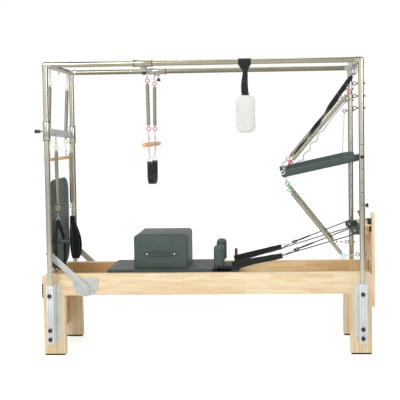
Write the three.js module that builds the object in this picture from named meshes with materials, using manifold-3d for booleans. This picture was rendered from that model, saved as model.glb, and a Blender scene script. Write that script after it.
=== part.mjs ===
// Pilates trapeze table: a wooden bed with a sliding carriage under a steel tube tower.
// Millimetres, +Z up. X runs along the bed with the foot end at -X, and -Y is the front.
// The origin is on the floor under the middle of the table.
import * as THREE from 'three';
import { mergeVertices } from 'three/addons/utils/BufferGeometryUtils.js';
import Module from 'manifold-3d';

const wasm = await Module();
wasm.setup();

// Driving dimensions
const postSpacingX = 2232;
const postSpacingY = 704;
const towerAxisHeight = 2107;
const tubeRadius = 19;
const bedWidth = 560;
const bedTop = 595;
const railHeight = 155;
const railThickness = 56;
const legWidth = 155;
const carriageTop = 620;
const springRadius = 13.5;
const gap = 0.3;
const clear = 3;
const overrun = 5;
const both = [-1, 1];
const flanks = [['front', -1], ['rear', 1]];
const ends = [['foot', -1], ['head', 1]];

// Places that follow from the driving dimensions
const postX = postSpacingX / 2;
const postY = postSpacingY / 2;
const bedSide = bedWidth / 2;
const bedInside = bedSide - railThickness;
const bedOverhang = 76;
const bedEnd = postX + bedOverhang;
const fromTop = (drop) => towerAxisHeight - drop;

// Counts of sides and steps
const sides = {
  tube: 12, bore: 6, rod: 6, knob: 8, ring: 8, ringSection: 3, cord: 8, wheel: 12, arc: 8, ball: 6, corner: 4, cut: 6,
  loop: 13,
};

const legs = { shoulder: 35, cornerRadius: 26, cornerSteps: 4 };
const footPanel = { offset: 18, thickness: 38, bottom: 120 };
const headPanel = { thickness: 24, bottom: 440, top: 905 };
const riser = { thickness: 24, depth: 45, bottom: 346, top: 1022 };
const beam = { inner: 58, bottom: 856, top: 918, end: 236 };
const track = { height: 44, top: 500, lip: 46, web: 4, endInset: 60 };
const springBar = { x: -1040, z: 458, width: 40, height: 28, hookRadius: 4, hookLength: 22 };
const socket = {
  plateWidth: 91, plateThickness: 6, plateBottom: 118, channelWidth: 46, channelBottom: 106,
  top: 528, wall: 4, postFoot: 150,
};
const knob = { radius: 16, length: 11.5, levels: [143, 208, 457], taperShare: 0.72 };
const elbow = { reach: 52, extra: 1.5 };
const postHole = { radius: 4.5, first: 1090, pitch: 84.2, count: 6 };
const pushHole = { radius: 6.2 };
const eyebolt = {
  shank: 4, eye: 12, wire: 3.2, highDrops: [338, 254, 166], reach: 46, tail: 30,
  lowLevel: 737, lowRearLevel: 722, lowReach: 34,
};
const screwEye = { radius: 9, wire: 2.5, shank: 3, y: 235 };
const quadrant = {
  x: -878, top: 569, flatHalf: 93, radius: 93, centreDrop: 44, thickness: 5, pivotX: -862, pivotZ: 492,
  pinRadius: 8, headRadius: 13, headLength: 5, holeRadius: 4.5, holeCount: 5, holeRing: 78,
  slotLength: 26, slotWidth: 8, slotX: 66, slotRise: 6, holeSpread: 0.42,
};
const anchorPlate = { left: 52, right: 22, top: 25, bottom: 85, thickness: 6, slot: 5, slotLength: 22, corner: 37 };
const carriage = {
  left: -735, padRight: 48, right: 228, halfWidth: 200, baseTop: 572, baseBottom: 550,
  padHalfWidth: 218, bracketWidth: 60, bracketThickness: 8, bracketY: 172,
};
const wheel = { radius: 24, axle: 6, axleHole: 6.6, width: 18, footX: -600, headX: 160, drop: 12 };
const shoulder = {
  left: 52, right: 127, inner: 112, outer: 214, bottom: 620, top: 784, postRadius: 10, postInset: 30,
};
const peg = { x: 200, y: 190, radius: 12, top: 705, footRadius: 15, footHeight: 8 };
const headrest = {
  left: 56, right: 186, halfWidth: 96, bottom: 590, top: 622, pin: 4, pinHole: 4.8, pinZ: 610, pinX: 60, ear: 8,
  earWidth: 16, restX: 166, restHalf: 8, restY: 60,
};
const underSpring = {
  count: 5, pitch: 56, left: -690, right: -300, radius: 11, z: 504, hook: 3, hookLength: 26, plate: 12,
};
const rope = {
  radius: 4, y: 190, cleatX: 214, cleatY: 160, cleatZ: 604, cleatRadius: 6, loopX: 640, loopZ: 745, arcSteps: 10,
};
const pulley = {
  x: 1083, z: 886, radius: 25, groove: 21, width: 14, bore: 6.6, axle: 6, cheekThickness: 4,
  cheekRadius: 30, sideGap: 1.2,
};
const strapLoop = { endX: 556, endZ: 705, width: 56, thickness: 4, pegGap: 6.5, endHalf: 5, innerHalf: 1, footZ: 634 };
const dRing = { radius: 13, wire: 2.6, snapRadius: 4 };
const box = {
  left: -534, right: -144, halfDepth: 190, height: 244, corner: 24, grip: 122, gripDrop: 140,
  gripThickness: 5, gripWidth: 32,
};
const footbar = {
  endX: -1130, endZ: 740, y: 294, armWidth: 45, armThickness: 7, barRadius: 10, padRadius: 14,
  padHalf: 200, crankX: -1166, crankY: 256, bore: 8.6, endSteps: 6,
};
const jumpBoard = { face: -1122, thickness: 24, halfWidth: 240, bottom: 612, top: 1278, corner: 105 };
const boardBracket = { y: 130, width: 50, plate: 4, drop: 60, backHeight: 90 };
const crossbar = {
  z: 1637, sleeveTop: 1706, sleeveBottom: 1568, sleeveRadius: 24.5, sleeveGap: 0.4, plateTop: 1661,
  plateBottom: 1607, plateHalf: 4, eyeZ: 1594, lean: 29,
};
const crossbarKnob = { stem: 5, radius: 15, length: 34, end: 1216, collar: 9, collarLength: 14 };
const hangRing = { radius: 14, wire: 3, snap: 4, chain: 2.2 };
const rollDown = {
  ringDrop: 122, ringLowX: -1139, ringLowY: 225, ringLowZ: 1557, barX: -1137, barY: 326, barZ: 1430, barRadius: 13,
  eyeY: 222, eye: 7, curls: 4,
};
const hand = {
  x: -1102, y: -170, ringZ: 1516, ringLowZ: 1070, clipZ: 1000, curls: 4, gripZ: 824, gripLeft: -1121,
  gripRight: -1010, gripRadius: 15, strap: 3, strapWidth: 26, apexX: -1098, apexHalf: 9, tiltShare: 0.16,
  loopRadius: 12, knotLeft: -1118, knotRight: -1084, knotBottom: 930, knotTop: 978, knotHalf: 17,
};
const foot = {
  x: -1094, y: 197, ringZ: 1492, ringLowZ: 1048, clipZ: 985, curls: 4, loopTop: 970, neckBottom: 905, neckLeft: -1110,
  neckRight: -1068, neckHalf: 13, band: 8,
};
const leash = { y: -262, eyeZ: 572, chainBottom: 520, strapBottom: 417, out: 8, width: 16, thickness: 6, radius: 2 };
const bridge = {
  x: -416, halfLength: 69, sleeveRadius: 24.5, plateWidth: 46, plateThickness: 5, plateDrop: 34, eyeDrop: 23,
  holeRadius: 9, holes: 7, holePitch: 50, strutInset: 330, knobDrop: 58, knobRadius: 17, knobLength: 22,
  stem: 5, knobX: 63,
};
const trapeze = {
  y: 175, lowY: 150, ringDrop: 110, ringLowDrop: 461, curls: 4, barDrop: 577, barHalf: 356, barRadius: 16,
  clipDrop: 47, dRingDrop: 114, slingDrop: 127, slingHeight: 174, slingHalf: 108, slingWidth: 46, slingThickness: 6,
};
const fleece = {
  x: 303, strapHalf: 27, wrapHalf: 45, wrap: 3.5, wrapGap: 0.7, neckDrop: 57, strapDrop: 241, padLeft: 236, padRight: 374,
  padDrop: 234, padHeight: 266, padDepth: 64, strapThickness: 5,
};
const pushBar = {
  pivotZ: 1426, freeX: 553, freeZ: 1308, y: 311, armHeight: 50, armThickness: 30, bracket: 62, bracketEnd: 22,
  pin: 5.4, head: 13, headLength: 6, gripRadius: 15, gripInset: 26, tipCut: 10,
};
const pushSpring = {
  y: 345, lowY: 322, curls: 4, topX: 1035, topDrop: 225, armX: 619, armZ: 1393,
  greenX: 598, greenZ: 1238, greenLowX: 610, greenLowZ: 1196, lowX: 984, lowZ: 724,
};
const coil = { wire: 3.6, steps: 8, sides: 5 };
const safety = { topX: 1093, topDrop: 89.4, thickness: 6, width: 32 };
const chain = { radius: 2, y: 318, rearAlong: 64, frontAlong: 476, startX: 1057, startDrop: 265, stepShare: 0.95 };

const V = (x, y, z) => new THREE.Vector3(x, y, z);
const xAxis = V(1, 0, 0);
const yAxis = V(0, 1, 0);
const zAxis = V(0, 0, 1);

// Materials
const paint = (color, roughness, metalness) => new THREE.MeshStandardMaterial({ color, roughness, metalness });
const finish = {
  wood: paint(0xe6cf9f, 0.5, 0),
  woodTan: paint(0xcfa878, 0.55, 0),
  tube: paint(0xbcb59d, 0.25, 0.9),
  steel: paint(0xc9c9c6, 0.3, 0.9),
  aluminium: paint(0xd7dadc, 0.4, 0.7),
  vinyl: paint(0x505f5a, 0.6, 0),
  black: paint(0x232a2a, 0.7, 0),
  rubber: paint(0x1d1f20, 0.9, 0),
  foam: paint(0x4b5252, 0.9, 0),
  fleece: paint(0xf0f1ea, 0.95, 0),
  yellow: paint(0xd7d782, 0.5, 0.1),
  red: paint(0xc85a64, 0.5, 0.1),
  spring: paint(0xafab91, 0.35, 0.85),
  slate: paint(0x4f605b, 0.5, 0.1),
};

// Solid modelling helpers
function toSolid(geometry) {
  const bare = geometry.clone();
  for (const name of Object.keys(bare.attributes)) {
    if (name !== 'position') bare.deleteAttribute(name);
  }
  const merged = mergeVertices(bare, gap / 1000);
  const index = merged.index.array;
  const kept = [];
  for (let i = 0; i < index.length; i += 3) {
    const [a, b, c] = [index[i], index[i + 1], index[i + 2]];
    if (a !== b && b !== c && a !== c) kept.push(a, b, c);
  }
  return new wasm.Manifold(new wasm.Mesh({
    numProp: 3,
    vertProperties: new Float32Array(merged.attributes.position.array),
    triVerts: new Uint32Array(kept),
  }));
}

function toGeometry(solid) {
  const mesh = solid.getMesh();
  const geometry = new THREE.BufferGeometry();
  geometry.setAttribute('position', new THREE.BufferAttribute(new Float32Array(mesh.vertProperties), 3));
  geometry.setIndex(new THREE.BufferAttribute(new Uint32Array(mesh.triVerts), 1));
  return geometry;
}

const union = (geometries) => geometries.map(toSolid).reduce((whole, part) => whole.add(part));

function carve(geometries, cutters) {
  const body = union(geometries);
  return toGeometry(cutters.length ? body.subtract(union(cutters)) : body);
}

const fuse = (...geometries) => carve(geometries, []);

function block(x0, x1, y0, y1, z0, z1) {
  const shape = new THREE.BoxGeometry(x1 - x0, y1 - y0, z1 - z0);
  return shape.translate((x0 + x1) / 2, (y0 + y1) / 2, (z0 + z1) / 2);
}

function rod(from, to, radius, count = sides.rod, endRadius = radius) {
  const run = to.clone().sub(from);
  const shape = new THREE.CylinderGeometry(endRadius, radius, run.length(), count);
  shape.applyQuaternion(new THREE.Quaternion().setFromUnitVectors(yAxis, run.normalize()));
  const middle = from.clone().add(to).multiplyScalar(1 / 2);
  return shape.translate(middle.x, middle.y, middle.z);
}

function ring(centre, normal, radius, wire, count = sides.ring) {
  const shape = new THREE.TorusGeometry(radius, wire, sides.ringSection, count);
  shape.applyQuaternion(new THREE.Quaternion().setFromUnitVectors(zAxis, normal));
  return shape.translate(centre.x, centre.y, centre.z);
}

// An outline in X and Z, extruded along Y from y0 to y1
function plateXZ(points, y0, y1, holes = []) {
  const shape = new THREE.Shape(points.map(([x, z]) => new THREE.Vector2(x, z)));
  for (const hole of holes) shape.holes.push(new THREE.Path(hole.map(([x, z]) => new THREE.Vector2(x, z))));
  const solid = new THREE.ExtrudeGeometry(shape, { depth: y1 - y0, bevelEnabled: false });
  return solid.rotateX(Math.PI / 2).translate(0, y1, 0);
}

function arc(cx, cz, radius, from, to, steps) {
  const points = [];
  for (let i = 0; i <= steps; i += 1) {
    const angle = from + ((to - from) * i) / steps;
    points.push([cx + radius * Math.cos(angle), cz + radius * Math.sin(angle)]);
  }
  return points;
}

// A tube of a round section along a smooth route
function tubeAlong(points, radius, count, steps) {
  const outline = arc(0, 0, radius, 0, 2 * Math.PI, count).slice(1).map(([x, y]) => new THREE.Vector2(x, y));
  return new THREE.ExtrudeGeometry(
    new THREE.Shape(outline), { steps, extrudePath: new THREE.CatmullRomCurve3(points), bevelEnabled: false },
  );
}

// Points of a round section about a place
function sectionAround(place, normal, binormal, radius, count) {
  return Array.from({ length: count }, (_, i) => {
    const angle = (2 * Math.PI * i) / count;
    return place.clone().addScaledVector(normal, radius * Math.cos(angle))
      .addScaledVector(binormal, radius * Math.sin(angle));
  });
}

// Closed form from rings of points, bottom to top, with a flat or pointed cap at each end
function loft(rings) {
  const count = rings[0].length;
  const positions = rings.flat().flatMap((p) => [p.x, p.y, p.z]);
  const index = [];
  for (let r = 0; r + 1 < rings.length; r += 1) {
    for (let i = 0; i < count; i += 1) {
      const j = (i + 1) % count;
      const [a, b, c, d] = [r * count + i, r * count + j, (r + 1) * count + j, (r + 1) * count + i];
      index.push(a, b, c, a, c, d);
    }
  }
  for (const [r, flip] of [[0, true], [rings.length - 1, false]]) {
    const centre = rings[r].reduce((sum, p) => sum.add(p), V(0, 0, 0)).divideScalar(count);
    const tip = positions.length / 3;
    positions.push(centre.x, centre.y, centre.z);
    for (let i = 0; i < count; i += 1) {
      const [a, b] = [r * count + i, r * count + ((i + 1) % count)];
      index.push(...(flip ? [tip, b, a] : [tip, a, b]));
    }
  }
  const shape = new THREE.BufferGeometry();
  shape.setAttribute('position', new THREE.Float32BufferAttribute(positions, 3));
  shape.setIndex(index);
  return shape;
}

// A cushion: rounded outline, sides drawn in at mid height, crowned top. Sizes are half sizes.
const cushionShares = { waist: 0.012, rim: 0.9, rise: 0.6, crown: 0.55 };
const cushionSideSteps = 2;
const cushionCorners = [[1, 1], [-1, 1], [-1, -1], [1, -1]];
function cushion(halfX, halfY, height, { corner, crown, roll, steps }) {
  const outline = (inset, pull) => {
    const points = [];
    const r = Math.max(corner - inset, gap);
    const [hx, hy] = [halfX - inset - r, halfY - inset - r];
    cushionCorners.forEach(([sx, sy], k) => {
      for (let s = 0; s <= steps; s += 1) {
        const angle = (Math.PI / 2) * (k + s / steps);
        points.push([sx * hx + r * Math.cos(angle), sy * hy + r * Math.sin(angle)]);
      }
      const [nx, ny] = cushionCorners[(k + 1) % cushionCorners.length];
      const from = points[points.length - 1];
      const angle = (Math.PI / 2) * (k + 1);
      const to = [nx * hx + r * Math.cos(angle), ny * hy + r * Math.sin(angle)];
      for (let s = 1; s < cushionSideSteps; s += 1) {
        const t = s / cushionSideSteps;
        const draw = pull * Math.sin(Math.PI * t);
        const x = from[0] + (to[0] - from[0]) * t;
        const y = from[1] + (to[1] - from[1]) * t;
        points.push([x - draw * Math.cos(angle), y - draw * Math.sin(angle)]);
      }
    });
    return points;
  };
  const pull = cushionShares.waist * (halfX + halfY);
  const level = (inset, draw, z) => outline(inset, draw).map(([x, y]) => V(x, y, z));
  const shrink = (points, share, z) => points.map((p) => V(p.x * share, p.y * share, z));
  const body = height - crown;
  const rim = level(roll, 0, body);
  return loft([
    level(roll, 0, 0),
    level(0, 0, roll),
    level(0, pull, body / 2),
    level(0, 0, body - roll),
    rim,
    shrink(rim, cushionShares.rim, body + crown * cushionShares.rise),
    shrink(rim, cushionShares.crown, height),
  ]);
}

// A wound spring from one point to the other, as one unbroken tube. The ends run straight along
// the axis for one wire diameter, and the wire then swings out to the winding in its first turn.
const springReport = [];
function spring(name, from, to, curls) {
  const axis = to.clone().sub(from);
  const length = axis.length();
  axis.normalize();
  const side = new THREE.Vector3().crossVectors(axis, Math.abs(axis.y) < 1 / 2 ? yAxis : xAxis).normalize();
  const up = new THREE.Vector3().crossVectors(axis, side);
  const mean = springRadius - coil.wire;
  const lead = 2 * coil.wire;
  const turns = curls * coil.steps;
  const wound = length - 4 * lead;
  const centre = [from.clone(), from.clone().addScaledVector(axis, lead)];
  for (let i = 0; i <= turns; i += 1) {
    const angle = (2 * Math.PI * i) / coil.steps;
    const along = 2 * lead + (wound * i) / turns;
    centre.push(from.clone().addScaledVector(axis, along)
      .addScaledVector(side, mean * Math.cos(angle)).addScaledVector(up, mean * Math.sin(angle)));
  }
  centre.push(to.clone().addScaledVector(axis, -lead), to.clone());
  const rings = centre.map((p, i) => {
    const before = centre[Math.max(i - 1, 0)];
    const after = centre[Math.min(i + 1, centre.length - 1)];
    const end = i === 0 || i === centre.length - 1;
    const tangent = end ? axis.clone() : after.clone().sub(before).normalize();
    const outward = p.clone().sub(from);
    outward.addScaledVector(axis, -outward.dot(axis));
    const guide = outward.length() > coil.wire ? outward.normalize() : side.clone();
    const binormal = new THREE.Vector3().crossVectors(tangent, guide).normalize();
    const normal = new THREE.Vector3().crossVectors(binormal, tangent).normalize();
    return sectionAround(p, normal, binormal, coil.wire, coil.sides);
  });
  let least = Infinity;
  for (let i = 0; i < centre.length; i += 1) {
    for (let j = i + coil.steps - 2; j < centre.length; j += 1) {
      least = Math.min(least, centre[i].distanceTo(centre[j]) - 2 * coil.wire);
    }
  }
  springReport.push(`${name}: ${curls} curls, least gap ${least.toFixed(2)} mm`);
  return loft(rings);
}

const table = new THREE.Group();
function add(name, geometry, material) {
  const mesh = new THREE.Mesh(geometry, material);
  mesh.name = name;
  table.add(mesh);
  return mesh;
}

// Wooden bed
const sorted = (a, b) => [Math.min(a, b), Math.max(a, b)];
const railLow = bedTop - railHeight;

function legOutline(end) {
  const upper = legWidth - legs.shoulder;
  const radius = legs.cornerRadius;
  const points = [
    [0, 0],
    [legWidth, 0],
    [legWidth, railLow],
    [upper, railLow],
    [upper, bedTop],
    ...arc(radius, bedTop - radius, radius, Math.PI / 2, Math.PI, legs.cornerSteps),
  ].map(([x, z]) => [end * (bedEnd - x), z]);
  return end > 0 ? points.reverse() : points;
}

function makeSideFrame(side) {
  const [y0, y1] = sorted(side * bedInside, side * bedSide);
  const end = bedEnd - legs.shoulder;
  return fuse(
    block(-end, end, y0, y1, railLow, bedTop), plateXZ(legOutline(-1), y0, y1), plateXZ(legOutline(1), y0, y1),
  );
}

const panelLeft = -bedEnd + footPanel.offset;
const panelRight = panelLeft + footPanel.thickness;
const makeFootPanel = () => block(
  panelLeft, panelRight, -bedInside + gap, bedInside - gap, footPanel.bottom, bedTop,
);

const beamFace = bedEnd - beam.inner;
function makeHeadBoards() {
  const inner = bedSide - riser.depth;
  const back = bedEnd + headPanel.thickness;
  const risers = both.map((side) => block(
    bedEnd + gap, bedEnd + riser.thickness, ...sorted(side * inner, side * bedSide), riser.bottom, riser.top,
  ));
  return fuse(
    ...risers,
    block(bedEnd + gap, back, -inner, inner, headPanel.bottom, headPanel.top),
    block(beamFace, back, -beam.end, beam.end, beam.bottom, beam.top),
  );
}

function makeTracks() {
  const end = bedEnd - track.endInset;
  const wall = bedInside - gap;
  const rails = both.flatMap((side) => [
    block(-end, end, ...sorted(side * wall, side * (wall - track.web)), track.top - track.height, track.top),
    block(-end, end, ...sorted(side * wall, side * (wall - track.lip)), track.top - track.web, track.top),
  ]);
  const half = springBar.width / 2;
  const top = springBar.z + springBar.height / 2;
  const bar = block(springBar.x - half, springBar.x + half, -wall + gap, wall - gap, top - springBar.height, top);
  const hooks = springYs().map((y) => rod(
    V(springBar.x, y, springBar.z), V(springBar.x, y, top + springBar.hookLength), springBar.hookRadius,
  ));
  return fuse(...rails, bar, ...hooks);
}

// Tower
const elbowRadius = tubeRadius + elbow.extra;
const boreRadius = tubeRadius - socket.wall / 2;
const tubeRod = (from, to, radius = tubeRadius) => rod(from, to, radius, sides.tube);
const boreRod = (from, to) => rod(from, to, boreRadius, sides.bore);

const postTop = towerAxisHeight - elbow.reach - gap;
const lowEyeLevel = (side) => (side < 0 ? eyebolt.lowLevel : eyebolt.lowRearLevel);

function makePost(end, side) {
  const [x, y] = [end * postX, side * postY];
  const across = tubeRadius + overrun;
  const cutters = [boreRod(V(x, y, socket.postFoot - overrun), V(x, y, postTop + overrun))];
  const bolts = [];
  if (end > 0) {
    for (let i = 0; i < postHole.count; i += 1) {
      const z = postHole.first + i * postHole.pitch;
      const free = Math.abs(z - pushBar.pivotZ) > pushHole.radius + postHole.radius;
      if (free) cutters.push(rod(V(x, y - across, z), V(x, y + across, z), postHole.radius));
    }
    const z = pushBar.pivotZ;
    cutters.push(rod(V(x, y - across, z), V(x, y + across, z), pushHole.radius, sides.knob));
    for (const drop of eyebolt.highDrops) bolts.push(...eyeboltAt(y, fromTop(drop), eyebolt.reach));
    bolts.push(...eyeboltAt(y, lowEyeLevel(side), eyebolt.lowReach));
    if (side < 0) bolts.push(knobAt(V(x + boreRadius, y, postHole.first), xAxis, 2 * knob.length));
  }
  const tube = carve([tubeRod(V(x, y, socket.postFoot), V(x, y, postTop))], cutters);
  return fuse(tube, ...bolts);
}

// An eyebolt across a head-end post: its eye, and its shank with the threaded tail
function eyeboltAt(y, z, reach) {
  return [
    ring(V(postX - reach, y, z), yAxis, eyebolt.eye, eyebolt.wire),
    rod(V(postX - reach + eyebolt.eye, y, z), V(postX + eyebolt.tail, y, z), eyebolt.shank),
  ];
}

function turned(profile, from, direction, count) {
  const shape = new THREE.LatheGeometry(profile.map(([r, h]) => new THREE.Vector2(r, h)), count);
  shape.applyQuaternion(new THREE.Quaternion().setFromUnitVectors(yAxis, direction));
  return fuse(shape.translate(from.x, from.y, from.z));
}

const knobAt = (from, direction, length, radius = knob.radius) => turned(
  [[0, 0], [radius * knob.taperShare, 0], [radius, length], [0, length]],
  from, direction, sides.knob,
);

// Rectangle of tubes at the top, with its elbows and three screw eyes, bored through as one
const screwEyeZ = towerAxisHeight - tubeRadius - screwEye.shank - screwEye.radius;
function makeTopFrame() {
  const z = towerAxisHeight;
  const arm = elbow.reach;
  const outer = [];
  const bores = [];
  for (const side of both) {
    outer.push(tubeRod(V(-postX, side * postY, z), V(postX, side * postY, z)));
    bores.push(boreRod(V(-postX, side * postY, z), V(postX, side * postY, z)));
  }
  for (const end of both) {
    outer.push(tubeRod(V(end * postX, -postY, z), V(end * postX, postY, z)));
    bores.push(boreRod(V(end * postX, -postY, z), V(end * postX, postY, z)));
    for (const side of both) {
      const [x, y] = [end * postX, side * postY];
      const corner = V(x, y, z);
      outer.push(
        tubeRod(V(x, y, z - arm), corner, elbowRadius),
        new THREE.SphereGeometry(elbowRadius, sides.tube, sides.ball).translate(x, y, z),
      );
      bores.push(boreRod(V(x, y, z - arm - overrun), corner));
    }
  }
  const eyes = [-1, 0, 1].flatMap((share) => {
    const y = share * screwEye.y;
    return [
      ring(V(-postX, y, screwEyeZ), xAxis, screwEye.radius, screwEye.wire),
      rod(V(-postX, y, screwEyeZ + screwEye.radius), V(-postX, y, z - boreRadius), screwEye.shank),
    ];
  });
  return fuse(carve(outer, bores), ...eyes);
}

const socketFace = postY + tubeRadius + socket.wall;
function makeSocket(end, side) {
  const x = end * postX;
  const half = [socket.channelWidth / 2, socket.plateWidth / 2];
  const channel = block(
    x - half[0], x + half[0], ...sorted(side * bedSide, side * socketFace), socket.channelBottom, socket.top,
  );
  const plate = block(
    x - half[1], x + half[1], ...sorted(side * bedSide, side * (bedSide + socket.plateThickness)), socket.plateBottom,
    socket.top,
  );
  const bore = tubeRod(
    V(x, side * postY, socket.postFoot - gap), V(x, side * postY, socket.top + overrun), tubeRadius + gap,
  );
  const root = socketFace - socket.wall / 2;
  const knobs = knob.levels.map((z) => knobAt(V(x, side * root, z), V(0, side, 0), knob.length + socket.wall / 2));
  return fuse(carve([channel, plate], [bore]), ...knobs);
}

function makeAnchorPlate() {
  const [x, z] = [postX, towerAxisHeight];
  const middle = x - (anchorPlate.left - anchorPlate.right) / 2;
  const half = (anchorPlate.left + anchorPlate.right) / 2;
  const low = z - anchorPlate.bottom + anchorPlate.corner;
  const outline = [
    ...arc(middle, low, half, Math.PI, 2 * Math.PI, sides.arc),
    [middle + half, z + anchorPlate.top],
    [middle - half, z + anchorPlate.top],
  ];
  const y = anchorPlate.thickness / 2;
  const cutters = [tubeRod(V(x, -y - overrun, z), V(x, y + overrun, z), tubeRadius + gap)];
  for (const share of [-1, 0, 1]) {
    const slotX = middle + share * anchorPlate.slotLength;
    cutters.push(block(
      slotX - anchorPlate.slot, slotX + anchorPlate.slot, -y - overrun, y + overrun,
      low - anchorPlate.slot - anchorPlate.slotLength / 2, low - anchorPlate.slot + anchorPlate.slotLength / 2,
    ));
  }
  return carve([plateXZ(outline, -y, y)], cutters);
}

function makeQuadrant(side) {
  const [y0, y1] = sorted(side * bedSide, side * (bedSide + quadrant.thickness));
  const centreZ = quadrant.top - quadrant.centreDrop;
  const outline = [
    ...arc(quadrant.x, centreZ, quadrant.radius, Math.PI, 2 * Math.PI, sides.arc),
    [quadrant.x + quadrant.flatHalf, quadrant.top],
    [quadrant.x - quadrant.flatHalf, quadrant.top],
  ];
  const cutters = [];
  for (let i = 0; i < quadrant.holeCount; i += 1) {
    const angle = -Math.PI / 2 + (i - (quadrant.holeCount - 1) / 2) * quadrant.holeSpread;
    const x = quadrant.x + quadrant.holeRing * Math.cos(angle);
    const z = centreZ + quadrant.holeRing * Math.sin(angle);
    cutters.push(rod(V(x, y0 - overrun, z), V(x, y1 + overrun, z), quadrant.holeRadius));
  }
  for (const way of both) {
    const x = quadrant.x + way * quadrant.slotX;
    const z = centreZ + quadrant.slotRise;
    cutters.push(block(
      x - quadrant.slotWidth / 2, x + quadrant.slotWidth / 2, y0 - overrun, y1 + overrun,
      z - quadrant.slotLength / 2, z + quadrant.slotLength / 2,
    ));
  }
  const armFar = footbar.y + footbar.armThickness / 2 + gap;
  const at = (y) => V(quadrant.pivotX, side * y, quadrant.pivotZ);
  return fuse(
    carve([plateXZ(outline, y0, y1)], cutters),
    rod(at(bedSide + gap), at(armFar), quadrant.pinRadius, sides.knob),
    rod(at(armFar), at(armFar + quadrant.headLength), quadrant.headRadius, sides.knob),
  );
}

// Pulley housings on the beam at the head end
function makePulleyHousings() {
  const inner = pulley.width / 2 + pulley.sideGap;
  const outer = inner + pulley.cheekThickness;
  const top = pulley.z + pulley.cheekRadius;
  const outline = [
    ...arc(pulley.x, pulley.z, pulley.cheekRadius, Math.PI / 2, (3 * Math.PI) / 2, sides.arc),
    [beamFace - gap, pulley.z - pulley.cheekRadius],
    [beamFace - gap, top],
  ];
  const pieces = both.flatMap((side) => {
    const y = side * rope.y;
    return [
      plateXZ(outline, y - outer, y - inner),
      plateXZ(outline, y + inner, y + outer),
      rod(V(pulley.x, y - outer + gap, pulley.z), V(pulley.x, y + outer - gap, pulley.z), pulley.axle, sides.wheel),
    ];
  });
  const reach = rope.y + outer;
  pieces.push(block(beamFace - pulley.cheekThickness, beamFace - gap, -reach, reach, beam.bottom, top));
  return fuse(...pieces);
}

function makePulleyWheel(side) {
  const { width, bore, radius, groove } = pulley;
  const profile = [[bore, 0], [radius, 0], [groove, width / 2], [radius, width], [bore, width], [bore, 0]];
  return turned(profile, V(pulley.x, side * rope.y - width / 2, pulley.z), yAxis, sides.wheel);
}

function makeLeash() {
  const x = -bedEnd - leash.out;
  return fuse(
    rod(V(-bedEnd - gap, leash.y, leash.eyeZ), V(x - leash.radius, leash.y, leash.eyeZ), screwEye.shank),
    rod(V(x, leash.y, leash.eyeZ), V(x, leash.y, leash.chainBottom), leash.radius),
    block(
      x - leash.thickness / 2, x + leash.thickness / 2, leash.y - leash.width / 2, leash.y + leash.width / 2,
      leash.strapBottom, leash.chainBottom + leash.radius,
    ),
  );
}

// Carriage
const wheelZ = track.top + wheel.radius + gap;
const wheelNear = carriage.bracketY + carriage.bracketThickness / 2 + gap;
function makeCarriageBase() {
  const { baseTop, baseBottom, halfWidth } = carriage;
  const deck = block(carriage.left + clear, carriage.right, -halfWidth, halfWidth, baseBottom, baseTop);
  const pieces = [deck];
  const cutters = [];
  const seat = baseTop - gap;
  for (const x of [wheel.footX, wheel.headX]) {
    for (const side of both) {
      const half = carriage.bracketThickness / 2;
      const y = side * carriage.bracketY;
      pieces.push(block(
        x - carriage.bracketWidth / 2, x + carriage.bracketWidth / 2, y - half, y + half, wheelZ - wheel.drop,
        baseBottom + gap,
      ));
      cutters.push(rod(V(x, y - half - gap, wheelZ), V(x, y + half + gap, wheelZ), wheel.axleHole, sides.knob));
    }
  }
  const rest = headrest;
  for (const side of both) {
    const restY = (side * (shoulder.inner + shoulder.outer)) / 2;
    const restX = (shoulder.left + shoulder.right) / 2;
    pieces.push(rod(V(restX, restY, seat), V(restX, restY, shoulder.bottom - gap), shoulder.postRadius, sides.knob));
    pieces.push(rod(V(peg.x, side * peg.y, seat), V(peg.x, side * peg.y, peg.top), peg.radius, sides.knob));
    pieces.push(rod(
      V(peg.x, side * peg.y, seat), V(peg.x, side * peg.y, baseTop + peg.footHeight), peg.footRadius, sides.knob,
    ));
    const cleatX = rope.cleatX - rope.cleatRadius - 2 * gap;
    pieces.push(rod(
      V(cleatX, side * rope.cleatY, seat), V(cleatX, side * rope.cleatY, rope.cleatZ + 2 * rope.cleatRadius),
      rope.cleatRadius,
    ));
    const earY = side * (rest.halfWidth + gap + rest.ear / 2);
    const [ear, half] = [rest.ear / 2, rest.earWidth / 2];
    pieces.push(block(rest.pinX - half, rest.pinX + half, earY - ear, earY + ear, seat, rest.pinZ + half));
    cutters.push(rod(
      V(rest.pinX, earY - ear - gap, rest.pinZ), V(rest.pinX, earY + ear + gap, rest.pinZ), rest.pinHole, sides.cut,
    ));
  }
  pieces.push(block(
    rest.restX - rest.restHalf, rest.restX + rest.restHalf, -rest.restY, rest.restY, seat, rest.bottom - gap,
  ));
  return carve(pieces, cutters);
}

function makeWheelset(x) {
  const near = wheelNear;
  const far = near + wheel.width;
  const profile = [
    [0, -far], [wheel.radius, -far], [wheel.radius, -near], [wheel.axle, -near], [wheel.axle, near],
    [wheel.radius, near], [wheel.radius, far], [0, far],
  ];
  return turned(profile, V(x, 0, wheelZ), yAxis, sides.wheel);
}

const padForm = { corner: 22, crown: 5, roll: 7, steps: 2 };
function makeCarriagePad() {
  const halfX = (carriage.padRight - carriage.left) / 2;
  const bottom = carriage.baseTop + gap;
  const form = cushion(halfX, carriage.padHalfWidth, carriageTop - bottom, padForm);
  return fuse(form.translate(carriage.left + halfX, 0, bottom));
}

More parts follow.
